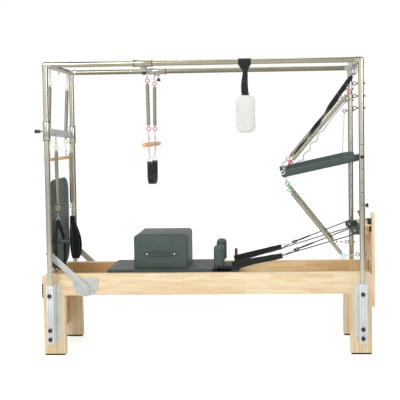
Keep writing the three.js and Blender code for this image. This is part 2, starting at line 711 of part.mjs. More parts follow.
const restForm = { corner: 26, crown: 9, roll: 12, steps: 2 };
function makeShoulderRest(side) {
  const halfX = (shoulder.right - shoulder.left) / 2;
  const halfY = (shoulder.outer - shoulder.inner) / 2;
  const form = cushion(halfX, halfY, shoulder.top - shoulder.bottom, restForm);
  return fuse(form.translate(shoulder.left + halfX, side * (shoulder.inner + halfY), shoulder.bottom));
}

function makeHeadrest() {
  const halfX = (headrest.right - headrest.left) / 2;
  const form = cushion(halfX, headrest.halfWidth, headrest.top - headrest.bottom, padForm);
  const end = headrest.halfWidth + gap + headrest.ear;
  const pin = rod(V(headrest.pinX, -end, headrest.pinZ), V(headrest.pinX, end, headrest.pinZ), headrest.pin, sides.knob);
  return fuse(form.translate(headrest.left + halfX, 0, headrest.bottom), pin);
}

// Springs stored under the carriage, hooked on one plate below its deck
function springYs() {
  const middle = (underSpring.count - 1) / 2;
  return Array.from({ length: underSpring.count }, (_, i) => (i - middle) * underSpring.pitch);
}

function makeUnderSprings() {
  const hookEnd = underSpring.right + underSpring.hookLength;
  const pieces = springYs().flatMap((y) => {
    const at = (x) => V(x, y, underSpring.z);
    return [
      rod(at(underSpring.left), at(underSpring.right), underSpring.radius),
      rod(at(underSpring.left - underSpring.hookLength), at(hookEnd), underSpring.hook),
    ];
  });
  const half = springYs()[underSpring.count - 1] + underSpring.plate;
  pieces.push(block(
    hookEnd - underSpring.hook, hookEnd + underSpring.hook, -half, half, underSpring.z - underSpring.plate,
    carriage.baseBottom - gap,
  ));
  return fuse(...pieces);
}

// Webbing loop from a peg to its ring, with the ring and the snap that takes the rope
function makeStrapLoop(side) {
  const loop = strapLoop;
  const rise = Math.atan2(loop.endZ - loop.footZ, loop.endX - peg.x);
  const length = (loop.endX - peg.x) / Math.cos(rise);
  const inner = peg.radius + loop.pegGap;
  const outer = inner + loop.thickness;
  const round = (radius, half, end) => [
    ...arc(0, 0, radius, Math.PI / 2, (3 * Math.PI) / 2, sides.arc), [end, -half], [end, half],
  ].map(([x, y]) => new THREE.Vector2(x, y));
  const shape = new THREE.Shape(round(outer, loop.endHalf, length));
  shape.holes.push(new THREE.Path(round(inner, loop.innerHalf, length - loop.thickness)));
  const band = new THREE.ExtrudeGeometry(shape, { depth: loop.width, bevelEnabled: false });
  band.translate(0, 0, -loop.width / 2).rotateY(-rise).translate(peg.x, side * peg.y, loop.footZ);
  const y = side * rope.y;
  const centre = V(loop.endX + dRing.radius - dRing.wire, y, loop.endZ);
  const end = V(rope.loopX, y, rope.loopZ);
  const run = end.clone().sub(centre).normalize();
  return fuse(
    band, ring(centre, yAxis, dRing.radius, dRing.wire),
    rod(centre.clone().addScaledVector(run, dRing.radius), end.addScaledVector(run, -3 * gap), dRing.snapRadius),
  );
}

// Rope: from the cleat on the carriage, round the pulley and back to the snap
function makeRope(side) {
  const depth = pulley.radius - pulley.groove;
  const nest = (rope.radius * Math.hypot(pulley.width / 2, depth)) / (pulley.width / 2);
  const turn = pulley.groove + nest + 2 * gap;
  const y = side * rope.y;
  const slope = (x, z, way) => Math.atan2(pulley.z + way * turn - z, pulley.x - x);
  const low = -Math.PI / 2 + slope(rope.cleatX, rope.cleatZ, -1);
  const high = Math.PI / 2 + slope(rope.loopX, rope.loopZ, 1);
  const bend = arc(pulley.x, pulley.z, turn, low, high, rope.arcSteps).map(([x, z]) => V(x, y, z));
  return cordThrough(
    [V(rope.cleatX, side * rope.cleatY, rope.cleatZ), ...bend, V(rope.loopX, y, rope.loopZ)], rope.radius,
  );
}

// A cord straight between its points, with one ring of its section at each point
function cordThrough(points, radius) {
  return loft(points.map((p, i) => {
    const before = points[Math.max(i - 1, 0)];
    const after = points[Math.min(i + 1, points.length - 1)];
    const tangent = after.clone().sub(before).normalize();
    const normal = new THREE.Vector3().crossVectors(tangent, yAxis).normalize();
    return sectionAround(p, normal, new THREE.Vector3().crossVectors(tangent, normal), radius, sides.cord);
  }));
}

function makeBox() {
  const { left, right, halfDepth, corner } = box;
  const z = carriageTop + gap;
  const top = z + box.height;
  const outline = [
    [left, z], [right, z],
    ...arc(right - corner, top - corner, corner, 0, Math.PI / 2, sides.corner),
    ...arc(left + corner, top - corner, corner, Math.PI / 2, Math.PI, sides.corner),
  ];
  const x = (left + right) / 2;
  const level = top - box.gripDrop;
  const grips = both.map((side) => block(
    x - box.grip, x + box.grip, ...sorted(side * (halfDepth - gap), side * (halfDepth + box.gripThickness)),
    level - box.gripWidth / 2, level + box.gripWidth / 2,
  ));
  return fuse(plateXZ(outline, -halfDepth, halfDepth), ...grips);
}

// Footbar
const armRun = Math.atan2(footbar.endZ - quadrant.pivotZ, footbar.endX - quadrant.pivotX);
function makeFootbar() {
  const half = footbar.armWidth / 2;
  const outline = [
    ...arc(footbar.endX, footbar.endZ, half, armRun - Math.PI / 2, armRun + Math.PI / 2, footbar.endSteps),
    ...arc(quadrant.pivotX, quadrant.pivotZ, half, armRun + Math.PI / 2, armRun + (3 * Math.PI) / 2, footbar.endSteps),
  ];
  const arms = both.map((side) => {
    const bore = arc(quadrant.pivotX, quadrant.pivotZ, footbar.bore, 0, 2 * Math.PI, sides.wheel).slice(1);
    return plateXZ(outline, side * footbar.y - footbar.armThickness / 2, side * footbar.y + footbar.armThickness / 2, [bore]);
  });
  const at = (x, y) => V(x, y, footbar.endZ);
  const { crankX, crankY, barRadius, endX } = footbar;
  const over = barRadius / 2;
  const cranks = both.flatMap((side) => [
    rod(at(endX, side * footbar.y), at(endX, side * (crankY - over)), barRadius, sides.knob),
    rod(at(endX + over, side * crankY), at(crankX - over, side * crankY), barRadius, sides.knob),
  ]);
  return fuse(...arms, ...cranks, tubeRod(at(crankX, -crankY - over), at(crankX, crankY + over), barRadius));
}

function makeFootbarPad() {
  const { barRadius, padRadius } = footbar;
  const end = footbar.padHalf;
  const profile = [
    [barRadius + gap, -end], [padRadius, -end], [padRadius, end], [barRadius + gap, end], [barRadius + gap, -end],
  ];
  return turned(profile, V(footbar.crankX, 0, footbar.endZ), yAxis, sides.tube);
}

// Jump board with the brackets that saddle the foot-end panel
const boardForm = { crown: 5, roll: 8, steps: 3 };
function makeJumpBoard() {
  const { face, thickness, bottom, top } = jumpBoard;
  const halfZ = (top - bottom) / 2;
  const form = cushion(halfZ, jumpBoard.halfWidth, thickness, { ...boardForm, corner: jumpBoard.corner });
  form.rotateY(Math.PI / 2).translate(face - thickness, 0, bottom + halfZ);
  const { plate, drop } = boardBracket;
  const seat = bedTop + gap;
  const brackets = both.flatMap((side) => {
    const y = side * boardBracket.y;
    const half = boardBracket.width / 2;
    const span = (x0, x1, z0, z1) => block(x0, x1, y - half, y + half, z0, z1);
    return [
      span(panelLeft - gap - plate, panelRight + gap + plate, seat, seat + plate),
      span(panelLeft - gap - plate, panelLeft - gap, bedTop - drop, seat + plate),
      span(panelRight + gap, panelRight + gap + plate, bedTop - drop, seat + plate),
      span(face - thickness - plate, face - thickness + gap, seat, bottom + boardBracket.backHeight),
    ];
  });
  return fuse(form, ...brackets);
}

// Sliding crossbar on the foot-end posts, with its clamp knob and two eyes
const crossbarAt = (y, z) => z - (crossbar.lean * (y + postY)) / (2 * postY);
function makeCrossbar() {
  const x = -postX;
  const { sleeveBottom, sleeveTop, sleeveRadius, plateHalf, plateBottom, plateTop } = crossbar;
  const at = (y, z) => V(x, y, crossbarAt(y, z));
  const tubes = (reach, radius) => both.map((side) => tubeRod(
    at(side * postY, sleeveBottom - reach), at(side * postY, sleeveTop + reach), radius,
  ));
  const plate = [[-postY, plateBottom], [postY, plateBottom], [postY, plateTop], [-postY, plateTop]];
  const pieces = [
    ...tubes(0, sleeveRadius),
    plateXZ(plate.map(([y, z]) => [y, crossbarAt(y, z)]), -plateHalf, plateHalf).rotateZ(Math.PI / 2).translate(x, 0, 0),
  ];
  const bores = tubes(overrun, tubeRadius + crossbar.sleeveGap);
  for (const set of [hand, foot]) {
    const hook = crossbarAt(set.y, plateBottom + 4 * screwEye.shank);
    const eye = crossbarAt(set.y, crossbar.eyeZ);
    pieces.push(
      ring(V(set.x, set.y, eye), xAxis, screwEye.radius, screwEye.wire),
      rod(V(set.x, set.y, eye + screwEye.radius), V(set.x, set.y, hook + screwEye.shank), screwEye.shank),
      rod(V(set.x, set.y, hook), V(x, set.y, hook), screwEye.shank),
    );
  }
  const out = (along) => V(along, -postY, crossbar.z);
  const root = x - sleeveRadius;
  pieces.push(
    rod(out(x - tubeRadius), out(root - crossbarKnob.collarLength), crossbarKnob.collar, sides.knob),
    rod(out(root), out(-crossbarKnob.end + gap), crossbarKnob.stem),
    rod(out(-crossbarKnob.end + crossbarKnob.length), out(-crossbarKnob.end), crossbarKnob.radius, sides.knob),
  );
  return carve(pieces, bores);
}

// A spring between two rings, with a link at each end, all in one solid
function hanger(name, top, highRing, lowRing, bottom, curls) {
  const run = lowRing.clone().sub(highRing).normalize();
  const { radius, wire, snap } = hangRing;
  const toward = (from, to) => from.clone().addScaledVector(to.clone().sub(from).normalize(), radius);
  return fuse(
    rod(top, toward(highRing, top), snap),
    ring(highRing, yAxis, radius, wire),
    spring(name, highRing.clone().addScaledVector(run, radius), lowRing.clone().addScaledVector(run, -radius), curls),
    ring(lowRing, yAxis, radius, wire),
    rod(toward(lowRing, bottom), bottom, snap),
  );
}

const belowEye = screwEye.radius + screwEye.wire + 2 * gap;
function makeRollDownSpring(side) {
  const top = V(-postX, side * screwEye.y, screwEyeZ - belowEye);
  const low = V(rollDown.ringLowX, side * rollDown.ringLowY, rollDown.ringLowZ);
  const high = top.clone().lerp(low, (top.z - fromTop(rollDown.ringDrop)) / (top.z - low.z));
  const bottom = V(rollDown.barX, side * rollDown.eyeY, rollDown.barZ + rollDown.barRadius + rollDown.eye);
  return hanger(`roll-down ${side < 0 ? 'front' : 'rear'}`, top, high, low, bottom, rollDown.curls);
}

function makeRollDownBar() {
  const at = (y, z) => V(rollDown.barX, y, z);
  const top = rollDown.barZ + rollDown.barRadius + rollDown.eye - gap;
  const eyes = both.map((side) => rod(
    at(side * rollDown.eyeY, rollDown.barZ), at(side * rollDown.eyeY, top), hangRing.snap,
  ));
  return fuse(tubeRod(at(-rollDown.barY, rollDown.barZ), at(rollDown.barY, rollDown.barZ), rollDown.barRadius), ...eyes);
}

// Hand grip and foot loop under the crossbar
function makeHangSpring(name, set) {
  const at = (z) => V(set.x, set.y, z);
  return hanger(name, at(crossbarAt(set.y, crossbar.eyeZ) - belowEye), at(set.ringZ), at(set.ringLowZ), at(set.clipZ), set.curls);
}

// A band of webbing seen from the front: an outer outline with a hole in it
const bandXZ = (outer, inner, y, width) => plateXZ(outer, y - width / 2, y + width / 2, [inner]);

// Way of the padded loop behind the grip, from its knot down and round
const handWay = [
  [-1103, -172, 955], [-1106, -194, 905], [-1107, -216, 840], [-1107, -224, 760], [-1106, -214, 690], [-1103, -203, 640],
  [-1092, -181, 620], [-1076, -155, 624], [-1066, -139, 655], [-1061, -132, 720], [-1062, -131, 790], [-1074, -142, 870],
  [-1096, -166, 955],
];
function makeHandStrap() {
  const { strap, gripZ, gripRadius, gripLeft, gripRight, apexX, apexHalf, knotHalf } = hand;
  const [high, low, tip] = [gripZ + gripRadius, gripZ - gripRadius, hand.clipZ - gap];
  const outer = [
    [gripLeft, low], [gripRight, low], [gripRight, high], [apexX + apexHalf, tip], [apexX - apexHalf, tip],
    [gripLeft, high],
  ];
  const inner = [
    [gripLeft + strap, low + strap], [gripRight - strap, low + strap], [gripRight - strap, high],
    [apexX, tip - 3 * apexHalf], [gripLeft + strap, high],
  ];
  const grip = tubeRod(V(gripLeft + gap, 0, gripZ), V(gripRight - gap, 0, gripZ), gripRadius - strap);
  const front = fuse(bandXZ(outer, inner, 0, hand.strapWidth), grip)
    .translate(0, 0, -tip).rotateX(-hand.tiltShare).translate(0, hand.y, tip - hangRing.snap);
  const knot = block(
    hand.knotLeft, hand.knotRight, hand.y - knotHalf, hand.y + knotHalf, hand.knotBottom, hand.knotTop,
  );
  const stem = rod(V(hand.x, hand.y, hand.knotTop - gap), V(hand.x, hand.y, tip), hangRing.snap);
  const loop = tubeAlong(handWay.map(([x, y, z]) => V(x, y, z)), hand.loopRadius, sides.rod, sides.loop);
  return fuse(front, knot, stem, loop);
}

// Padded foot loop: a wide band down the front, round and up the rear, as [x, depth, z, width]
const footWay = [
  [-1089, 6, 925, 42], [-1081, 26, 854, 68], [-1072, 34, 794, 82], [-1068, 35, 728, 84], [-1068, 21, 672, 75],
  [-1070, 14, 643, 58], [-1071, 0, 632, 50],
];
function makeFootLoop() {
  const { band, neckHalf } = foot;
  const back = footWay.slice(0, -1).reverse().map(([x, depth, z, width]) => [x, -depth, z, width]);
  const way = [...footWay, ...back].map(([x, depth, z, width]) => ({ at: V(x, foot.y - depth, z), width }));
  const rings = way.map(({ at, width }, i) => {
    const before = way[Math.max(i - 1, 0)].at;
    const after = way[Math.min(i + 1, way.length - 1)].at;
    const normal = V(0, after.z - before.z, before.y - after.y).normalize().multiplyScalar(band / 2);
    return [[-1, -1], [1, -1], [1, 1], [-1, 1]].map(([across, out]) => at.clone()
      .addScaledVector(xAxis, (across * width) / 2).addScaledVector(normal, out));
  });
  const neck = block(foot.neckLeft, foot.neckRight, foot.y - neckHalf, foot.y + neckHalf, foot.neckBottom, foot.loopTop);
  const stem = rod(V(foot.x, foot.y, foot.loopTop - gap), V(foot.x, foot.y, foot.clipZ - gap), hangRing.snap);
  return fuse(loft(rings), neck, stem);
}

const bridgeZ = fromTop(bridge.plateDrop);
const trapezeBarZ = fromTop(trapeze.barDrop);

// Trapeze bridge on the top rails, with its clamp knobs and eyes
function makeBridge() {
  const [x, z] = [bridge.x, towerAxisHeight];
  const reach = bridge.halfLength;
  const half = bridge.plateWidth / 2;
  const inside = postY - tubeRadius / 2;
  const low = bridgeZ;
  const pieces = [block(x - half, x + half, -inside, inside, low, low + bridge.plateThickness)];
  const cutters = [];
  for (const side of both) {
    const y = side * postY;
    pieces.push(
      tubeRod(V(x - reach, y, z), V(x + reach, y, z), bridge.sleeveRadius),
      block(x - half, x + half, ...sorted(side * bridge.strutInset, side * inside), low, z - tubeRadius / 2),
    );
    cutters.push(tubeRod(V(x - reach - overrun, y, z), V(x + reach + overrun, y, z), tubeRadius + crossbar.sleeveGap));
    const knobX = x + reach - bridge.knobX;
    const at = (drop) => V(knobX, y, z - drop);
    pieces.push(
      rod(at(tubeRadius), at(bridge.knobDrop + gap), bridge.stem),
      rod(at(bridge.knobDrop), at(bridge.knobDrop + bridge.knobLength), bridge.knobRadius, sides.knob),
    );
    const eye = bridgeZ - bridge.eyeDrop + screwEye.radius + screwEye.wire;
    pieces.push(
      ring(V(x, side * trapeze.y, eye), xAxis, screwEye.radius, screwEye.wire),
      rod(V(x, side * trapeze.y, eye + screwEye.radius), V(x, side * trapeze.y, low + gap), screwEye.shank),
    );
  }
  for (let i = 0; i < bridge.holes; i += 1) {
    const y = (i - (bridge.holes - 1) / 2) * bridge.holePitch;
    cutters.push(rod(V(x, y, low - overrun), V(x, y, low + bridge.plateThickness + overrun), bridge.holeRadius));
  }
  return carve(pieces, cutters);
}

function makeTrapezeSpring(side) {
  const at = (y, z) => V(bridge.x, side * y, z);
  const top = at(trapeze.y, bridgeZ - bridge.eyeDrop - gap);
  const bottom = at(trapeze.lowY, trapezeBarZ + trapeze.barRadius + gap);
  const name = `trapeze ${side < 0 ? 'front' : 'rear'}`;
  return hanger(
    name, top, at(trapeze.y, fromTop(trapeze.ringDrop)), at(trapeze.lowY, fromTop(trapeze.ringLowDrop)), bottom,
    trapeze.curls,
  );
}

const makeTrapezeBar = () => fuse(tubeRod(
  V(bridge.x, -trapeze.barHalf, trapezeBarZ), V(bridge.x, trapeze.barHalf, trapezeBarZ), trapeze.barRadius,
));

// Sling under the bar: a band in a U between two rings, each on a chain and a clip
function makeSling() {
  const { slingHalf, slingThickness, slingWidth, slingHeight } = trapeze;
  const slingTop = trapezeBarZ - trapeze.slingDrop;
  const slingBottom = slingTop - slingHeight;
  const [clipZ, dRingZ] = [trapezeBarZ - trapeze.clipDrop, trapezeBarZ - trapeze.dRingDrop];
  const half = slingHalf + slingThickness / 2;
  const inner = half - slingThickness;
  const centreZ = slingBottom + half;
  const outline = [
    ...arc(0, centreZ, half, 2 * Math.PI, Math.PI, sides.arc),
    [-half, slingTop], [-inner, slingTop],
    ...arc(0, centreZ, inner, Math.PI, 2 * Math.PI, sides.arc),
    [inner, slingTop], [half, slingTop],
  ];
  const band = plateXZ(outline, -slingWidth / 2, slingWidth / 2).rotateZ(Math.PI / 2).translate(bridge.x, 0, 0);
  const pieces = [band];
  for (const side of both) {
    const [y, ringY] = [side * trapeze.lowY, side * slingHalf];
    const at = (placeY, z) => V(bridge.x, placeY, z);
    pieces.push(
      rod(at(y, trapezeBarZ - trapeze.barRadius - gap), at(y, clipZ), hangRing.snap),
      rod(at(y, clipZ + hangRing.chain), at(ringY, dRingZ + hangRing.radius), hangRing.chain),
      ring(at(ringY, dRingZ), xAxis, hangRing.radius, hangRing.wire),
    );
  }
  return fuse(...pieces);
}

const fleeceStrapEnd = fromTop(fleece.strapDrop);
const fleeceTop = fromTop(fleece.padDrop);

// Fleece-padded loop round the front top rail
function makeFleeceStrap() {
  const [x, y, z] = [fleece.x, -postY, towerAxisHeight];
  const inner = tubeRadius + fleece.wrapGap;
  const half = fleece.wrapHalf;
  const collar = carve(
    [tubeRod(V(x - half, y, z), V(x + half, y, z), inner + fleece.wrap)],
    [tubeRod(V(x - half - overrun, y, z), V(x + half + overrun, y, z), inner)],
  );
  const top = z - inner - gap;
  const neckZ = fromTop(fleece.neckDrop);
  const neck = plateXZ([
    [x - half, top], [x - fleece.strapHalf / 2, neckZ], [x - fleece.strapHalf, fleeceStrapEnd],
    [x + fleece.strapHalf, fleeceStrapEnd], [x + fleece.strapHalf / 2, neckZ], [x + half, top],
  ], y - fleece.strapThickness, y + fleece.strapThickness);
  return fuse(collar, neck);
}

const fleeceForm = { corner: 42, crown: 8, roll: 12, steps: 2 };
function makeFleecePad() {
  const halfX = (fleece.padRight - fleece.padLeft) / 2;
  const halfZ = fleece.padHeight / 2;
  const form = cushion(halfX, halfZ, fleece.padDepth, fleeceForm);
  form.rotateX(Math.PI / 2).translate(fleece.padLeft + halfX, -postY + fleece.padDepth / 2, fleeceTop - halfZ);
  const room = [fleece.strapHalf + gap, fleece.strapThickness + gap];
  const slot = block(
    fleece.x - room[0], fleece.x + room[0], -postY - room[1], -postY + room[1], fleeceStrapEnd - gap,
    fleeceTop + overrun,
  );
  return carve([form], [slot]);
}

// Push-through bar on the head-end posts. Places on it run along it from the pivot, and up square to it.
const pushAngle = Math.atan2(pushBar.freeZ - pushBar.pivotZ, pushBar.freeX - postX);
const pushLength = Math.hypot(pushBar.freeZ - pushBar.pivotZ, pushBar.freeX - postX);
const pushHalf = pushBar.armHeight / 2;
const pushEyeAlong = pushLength - pushBar.gripInset;
const pushEyeUp = pushHalf + 2 * screwEye.shank + screwEye.radius;
function onBar(along, up, y) {
  const direction = V(Math.cos(pushAngle), 0, Math.sin(pushAngle));
  const normal = V(Math.sin(pushAngle), 0, -Math.cos(pushAngle));
  return V(postX, y, pushBar.pivotZ).addScaledVector(direction, along).addScaledVector(normal, up);
}

function makePushBar() {
  const { bracket, bracketEnd, tipCut, armThickness, gripRadius, pin, head, headLength } = pushBar;
  const outline = [
    [-bracketEnd, -bracketEnd / 2], [-bracketEnd, bracketEnd / 2], [bracketEnd / 2, bracketEnd], [bracket, pushHalf],
    [pushLength, pushHalf], [pushLength, -pushHalf + tipCut], [pushLength - tipCut, -pushHalf], [bracket, -pushHalf],
    [bracketEnd / 2, -bracketEnd],
  ].map(([along, up]) => {
    const p = onBar(along, up, 0);
    return [p.x, p.z];
  });
  const pieces = [tubeRod(onBar(pushEyeAlong, 0, -pushBar.y), onBar(pushEyeAlong, 0, pushBar.y), gripRadius)];
  for (const side of both) {
    const y = side * pushBar.y;
    const outside = side * (postY + tubeRadius + gap);
    pieces.push(
      plateXZ(outline, y - armThickness / 2, y + armThickness / 2),
      rod(V(postX, y, pushBar.pivotZ), V(postX, outside, pushBar.pivotZ), pin, sides.knob),
      rod(V(postX, outside, pushBar.pivotZ), V(postX, outside + side * headLength, pushBar.pivotZ), head, sides.knob),
    );
    for (const way of both) {
      pieces.push(
        ring(onBar(pushEyeAlong, way * pushEyeUp, y), yAxis, screwEye.radius, screwEye.wire),
        rod(onBar(pushEyeAlong, 0, y), onBar(pushEyeAlong, way * (pushEyeUp - screwEye.radius), y), screwEye.shank),
      );
    }
  }
  return fuse(...pieces);
}

// End of a link short of an eye, on the way to a ring
function shortOf(eye, reach, ringCentre) {
  return eye.clone().addScaledVector(ringCentre.clone().sub(eye).normalize(), reach);
}

const postEyeReach = eyebolt.eye + eyebolt.wire + gap;
function makeUpperPushSpring(side) {
  const high = V(pushSpring.topX, side * pushSpring.y, fromTop(pushSpring.topDrop));
  const low = V(pushSpring.armX, side * pushSpring.lowY, pushSpring.armZ);
  const postEye = V(postX - eyebolt.reach, side * postY, fromTop(eyebolt.highDrops[eyebolt.highDrops.length - 1]));
  const barEye = onBar(pushEyeAlong, pushEyeUp, side * pushBar.y);
  const name = `push bar upper ${side < 0 ? 'front' : 'rear'}`;
  return hanger(name, shortOf(postEye, postEyeReach, high), high, low, shortOf(barEye, belowEye, low), pushSpring.curls);
}

function makeLowerPushSpring(side) {
  const first = V(pushSpring.greenX, side * pushSpring.lowY, pushSpring.greenZ);
  const high = V(pushSpring.greenLowX, side * pushSpring.lowY, pushSpring.greenLowZ);
  const low = V(pushSpring.lowX, side * pushSpring.y, pushSpring.lowZ);
  const postEye = V(postX - eyebolt.lowReach, side * postY, lowEyeLevel(side));
  const barEye = onBar(pushEyeAlong, -pushEyeUp, side * pushBar.y);
  const name = `push bar lower ${side < 0 ? 'front' : 'rear'}`;
  const { radius, wire, snap } = hangRing;
  return fuse(
    rod(shortOf(barEye, belowEye, first), shortOf(first, radius, barEye), snap),
    ring(first, yAxis, radius, wire),
    hanger(name, shortOf(first, radius, high), high, low, shortOf(postEye, postEyeReach, low), pushSpring.curls),
  );
}

// Doubled strap from the anchor plate to the middle of the grip
function makeSafetyStrap() {
  const top = V(safety.topX, 0, fromTop(safety.topDrop));
  const grip = onBar(pushEyeAlong, 0, 0);
  const low = shortOf(grip, pushBar.gripRadius + 2 * gap, top);
  const run = low.clone().sub(top);
  const band = new THREE.BoxGeometry(run.length(), safety.thickness, safety.width);
  band.rotateY(Math.atan2(run.z, -run.x));
  const middle = top.add(low).multiplyScalar(1 / 2);
  return fuse(band.translate(middle.x, middle.y, middle.z));
}

// Safety chains: scallops under the front upper spring, and one hanging at the rear post
const scallops = [
  [1000, 1805], [900, 1686], [851, 1614], [821, 1599], [809, 1578], [812, 1548], [794, 1535], [766, 1530],
  [757, 1508], [762, 1479], [745, 1470], [720, 1457], [708, 1435], [716, 1409], [676, 1405],
];
function makeFrontChain() {
  const end = onBar(chain.frontAlong, pushHalf + chain.radius + gap, -chain.y);
  const points = [V(chain.startX, -postY, fromTop(chain.startDrop)), ...scallops.map(([x, z]) => V(x, -chain.y, z)), end];
  return fuse(tubeAlong(points, chain.radius, sides.rod, Math.round(points.length * chain.stepShare)));
}

function makeRearChain() {
  const eye = V(postX - eyebolt.reach, postY, fromTop(eyebolt.highDrops[0]));
  const end = onBar(chain.rearAlong, pushHalf + chain.radius / 2, chain.y);
  return fuse(rod(shortOf(eye, postEyeReach, end), end, chain.radius));
}

// The model
add('foot_end_panel', makeFootPanel(), finish.woodTan);
add('head_end_boards', makeHeadBoards(), finish.wood);
add('carriage_tracks', makeTracks(), finish.aluminium);
add('top_frame', makeTopFrame(), finish.tube);
add('strap_anchor_plate', makeAnchorPlate(), finish.steel);
add('pulley_housings', makePulleyHousings(), finish.black);
add('side_leash', makeLeash(), finish.black);
add('carriage_base', makeCarriageBase(), finish.black);
add('carriage_pad', makeCarriagePad(), finish.vinyl);
add('carriage_springs', makeUnderSprings(), finish.spring);
add('wheelset_foot', makeWheelset(wheel.footX), finish.black);
add('wheelset_head', makeWheelset(wheel.headX), finish.black);
add('headrest', makeHeadrest(), finish.vinyl);
add('sitting_box', makeBox(), finish.vinyl);
add('footbar', makeFootbar(), finish.aluminium);
add('footbar_pad', makeFootbarPad(), finish.foam);
add('jump_board', makeJumpBoard(), finish.vinyl);
add('crossbar', makeCrossbar(), finish.steel);
add('roll_down_bar', makeRollDownBar(), finish.wood);
add('hand_spring', makeHangSpring('hand strap', hand), finish.spring);
add('hand_strap', makeHandStrap(), finish.black);
add('foot_spring', makeHangSpring('foot loop', foot), finish.spring);
add('foot_loop', makeFootLoop(), finish.black);
add('trapeze_bridge', makeBridge(), finish.steel);
add('trapeze_bar', makeTrapezeBar(), finish.wood);
add('trapeze_sling', makeSling(), finish.black);
add('fleece_strap', makeFleeceStrap(), finish.black);
add('fleece_pad', makeFleecePad(), finish.fleece);
add('push_bar', makePushBar(), finish.slate);
add('safety_strap', makeSafetyStrap(), finish.black);
add('safety_chain_front', makeFrontChain(), finish.steel);
add('safety_chain_rear', makeRearChain(), finish.steel);
for (const [flank, side] of flanks) {
  add(`side_frame_${flank}`, makeSideFrame(side), finish.wood);
  add(`footbar_quadrant_${flank}`, makeQuadrant(side), finish.aluminium);
  add(`pulley_wheel_${flank}`, makePulleyWheel(side), finish.black);
  add(`shoulder_rest_${flank}`, makeShoulderRest(side), finish.vinyl);
  add(`strap_loop_${flank}`, makeStrapLoop(side), finish.black);
  add(`rope_${flank}`, makeRope(side), finish.black);
  add(`roll_down_spring_${flank}`, makeRollDownSpring(side), finish.spring);
  add(`trapeze_spring_${flank}`, makeTrapezeSpring(side), finish.spring);
  add(`push_spring_upper_${flank}`, makeUpperPushSpring(side), finish.spring);
  add(`push_spring_lower_${flank}`, makeLowerPushSpring(side), finish.spring);
  for (const [place, end] of ends) {
    add(`post_${place}_${flank}`, makePost(end, side), finish.tube);
    add(`post_socket_${place}_${flank}`, makeSocket(end, side), finish.aluminium);
  }
}
console.log(springReport.join('\n'));

export default table;
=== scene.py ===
"""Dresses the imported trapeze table: wood, steel tube, springs, webbing, upholstery and fleece.

Sizes in the piece functions are millimetres in the part's frame; Form.finish turns them into metres.
"""

import math

import bmesh
import bpy
from mathutils import Matrix, Vector, noise


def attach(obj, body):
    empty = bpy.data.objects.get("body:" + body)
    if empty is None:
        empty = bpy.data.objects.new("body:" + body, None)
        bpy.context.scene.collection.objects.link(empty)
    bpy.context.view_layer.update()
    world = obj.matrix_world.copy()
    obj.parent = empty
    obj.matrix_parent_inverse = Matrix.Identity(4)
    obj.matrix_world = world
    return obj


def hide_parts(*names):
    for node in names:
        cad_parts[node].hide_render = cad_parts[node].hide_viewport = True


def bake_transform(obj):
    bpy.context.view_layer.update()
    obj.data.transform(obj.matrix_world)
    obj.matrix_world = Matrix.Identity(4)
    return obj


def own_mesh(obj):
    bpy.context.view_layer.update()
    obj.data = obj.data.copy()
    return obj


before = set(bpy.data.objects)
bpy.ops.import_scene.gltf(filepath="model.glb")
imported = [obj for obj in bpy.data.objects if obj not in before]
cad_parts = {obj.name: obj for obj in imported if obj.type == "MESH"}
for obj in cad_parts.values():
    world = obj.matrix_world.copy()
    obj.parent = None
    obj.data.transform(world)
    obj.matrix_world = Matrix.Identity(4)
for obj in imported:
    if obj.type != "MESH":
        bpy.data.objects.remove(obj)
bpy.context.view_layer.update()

MM = 0.001
BED = "bed_and_frame"
POST_X, POST_Y, TOP_Z, TUBE = 1116, 352, 2107, 19
BED_END, BED_SIDE, BED_INSIDE, BED_TOP = 1192, 280, 224, 595
FLANKS = (("front", -1), ("rear", 1))
ENDS = (("foot", -1), ("head", 1))
BOTH = (-1, 1)
X_AXIS, Y_AXIS, Z_AXIS = Vector((1, 0, 0)), Vector((0, 1, 0)), Vector((0, 0, 1))


def at(x, y, z):
    return Vector((x, y, z))


def metres(point):
    return tuple(c * MM for c in point)


def span(side, near, far):
    """The lower and the upper of two distances on one side of the middle."""
    return sorted((side * near, side * far))


def steps_of_turn(count):
    """Angles of a full turn in equal steps."""
    return [2 * math.pi * i / count for i in range(count)]


def circle(centre, u, v, radius, count):
    """Points round centre in the plane of u and v, which may be scaled for an oval."""
    return [centre + (u * math.cos(a) + v * math.sin(a)) * radius for a in steps_of_turn(count)]


def mirrored(half):
    """A lathe profile and its mirror image about height zero."""
    return [(r, -h) for r, h in half] + [(r, h) for r, h in reversed(half)]


def turned_to(spot, run):
    """Takes +Z to the direction run, at spot."""
    return Matrix.Translation(spot) @ Z_AXIS.rotation_difference(run).to_matrix().to_4x4()


def stand(name, data):
    """A new object of the scene."""
    made = bpy.data.objects.new(name, data)
    bpy.context.scene.collection.objects.link(made)
    return made


def arc(cx, cz, radius, start, stop, steps):
    """Points on an arc in the XZ plane, as (x, z)."""
    angles = (start + (stop - start) * i / steps for i in range(steps + 1))
    return [(cx + radius * math.cos(a), cz + radius * math.sin(a)) for a in angles]


# ---------------------------------------------------------------- camera


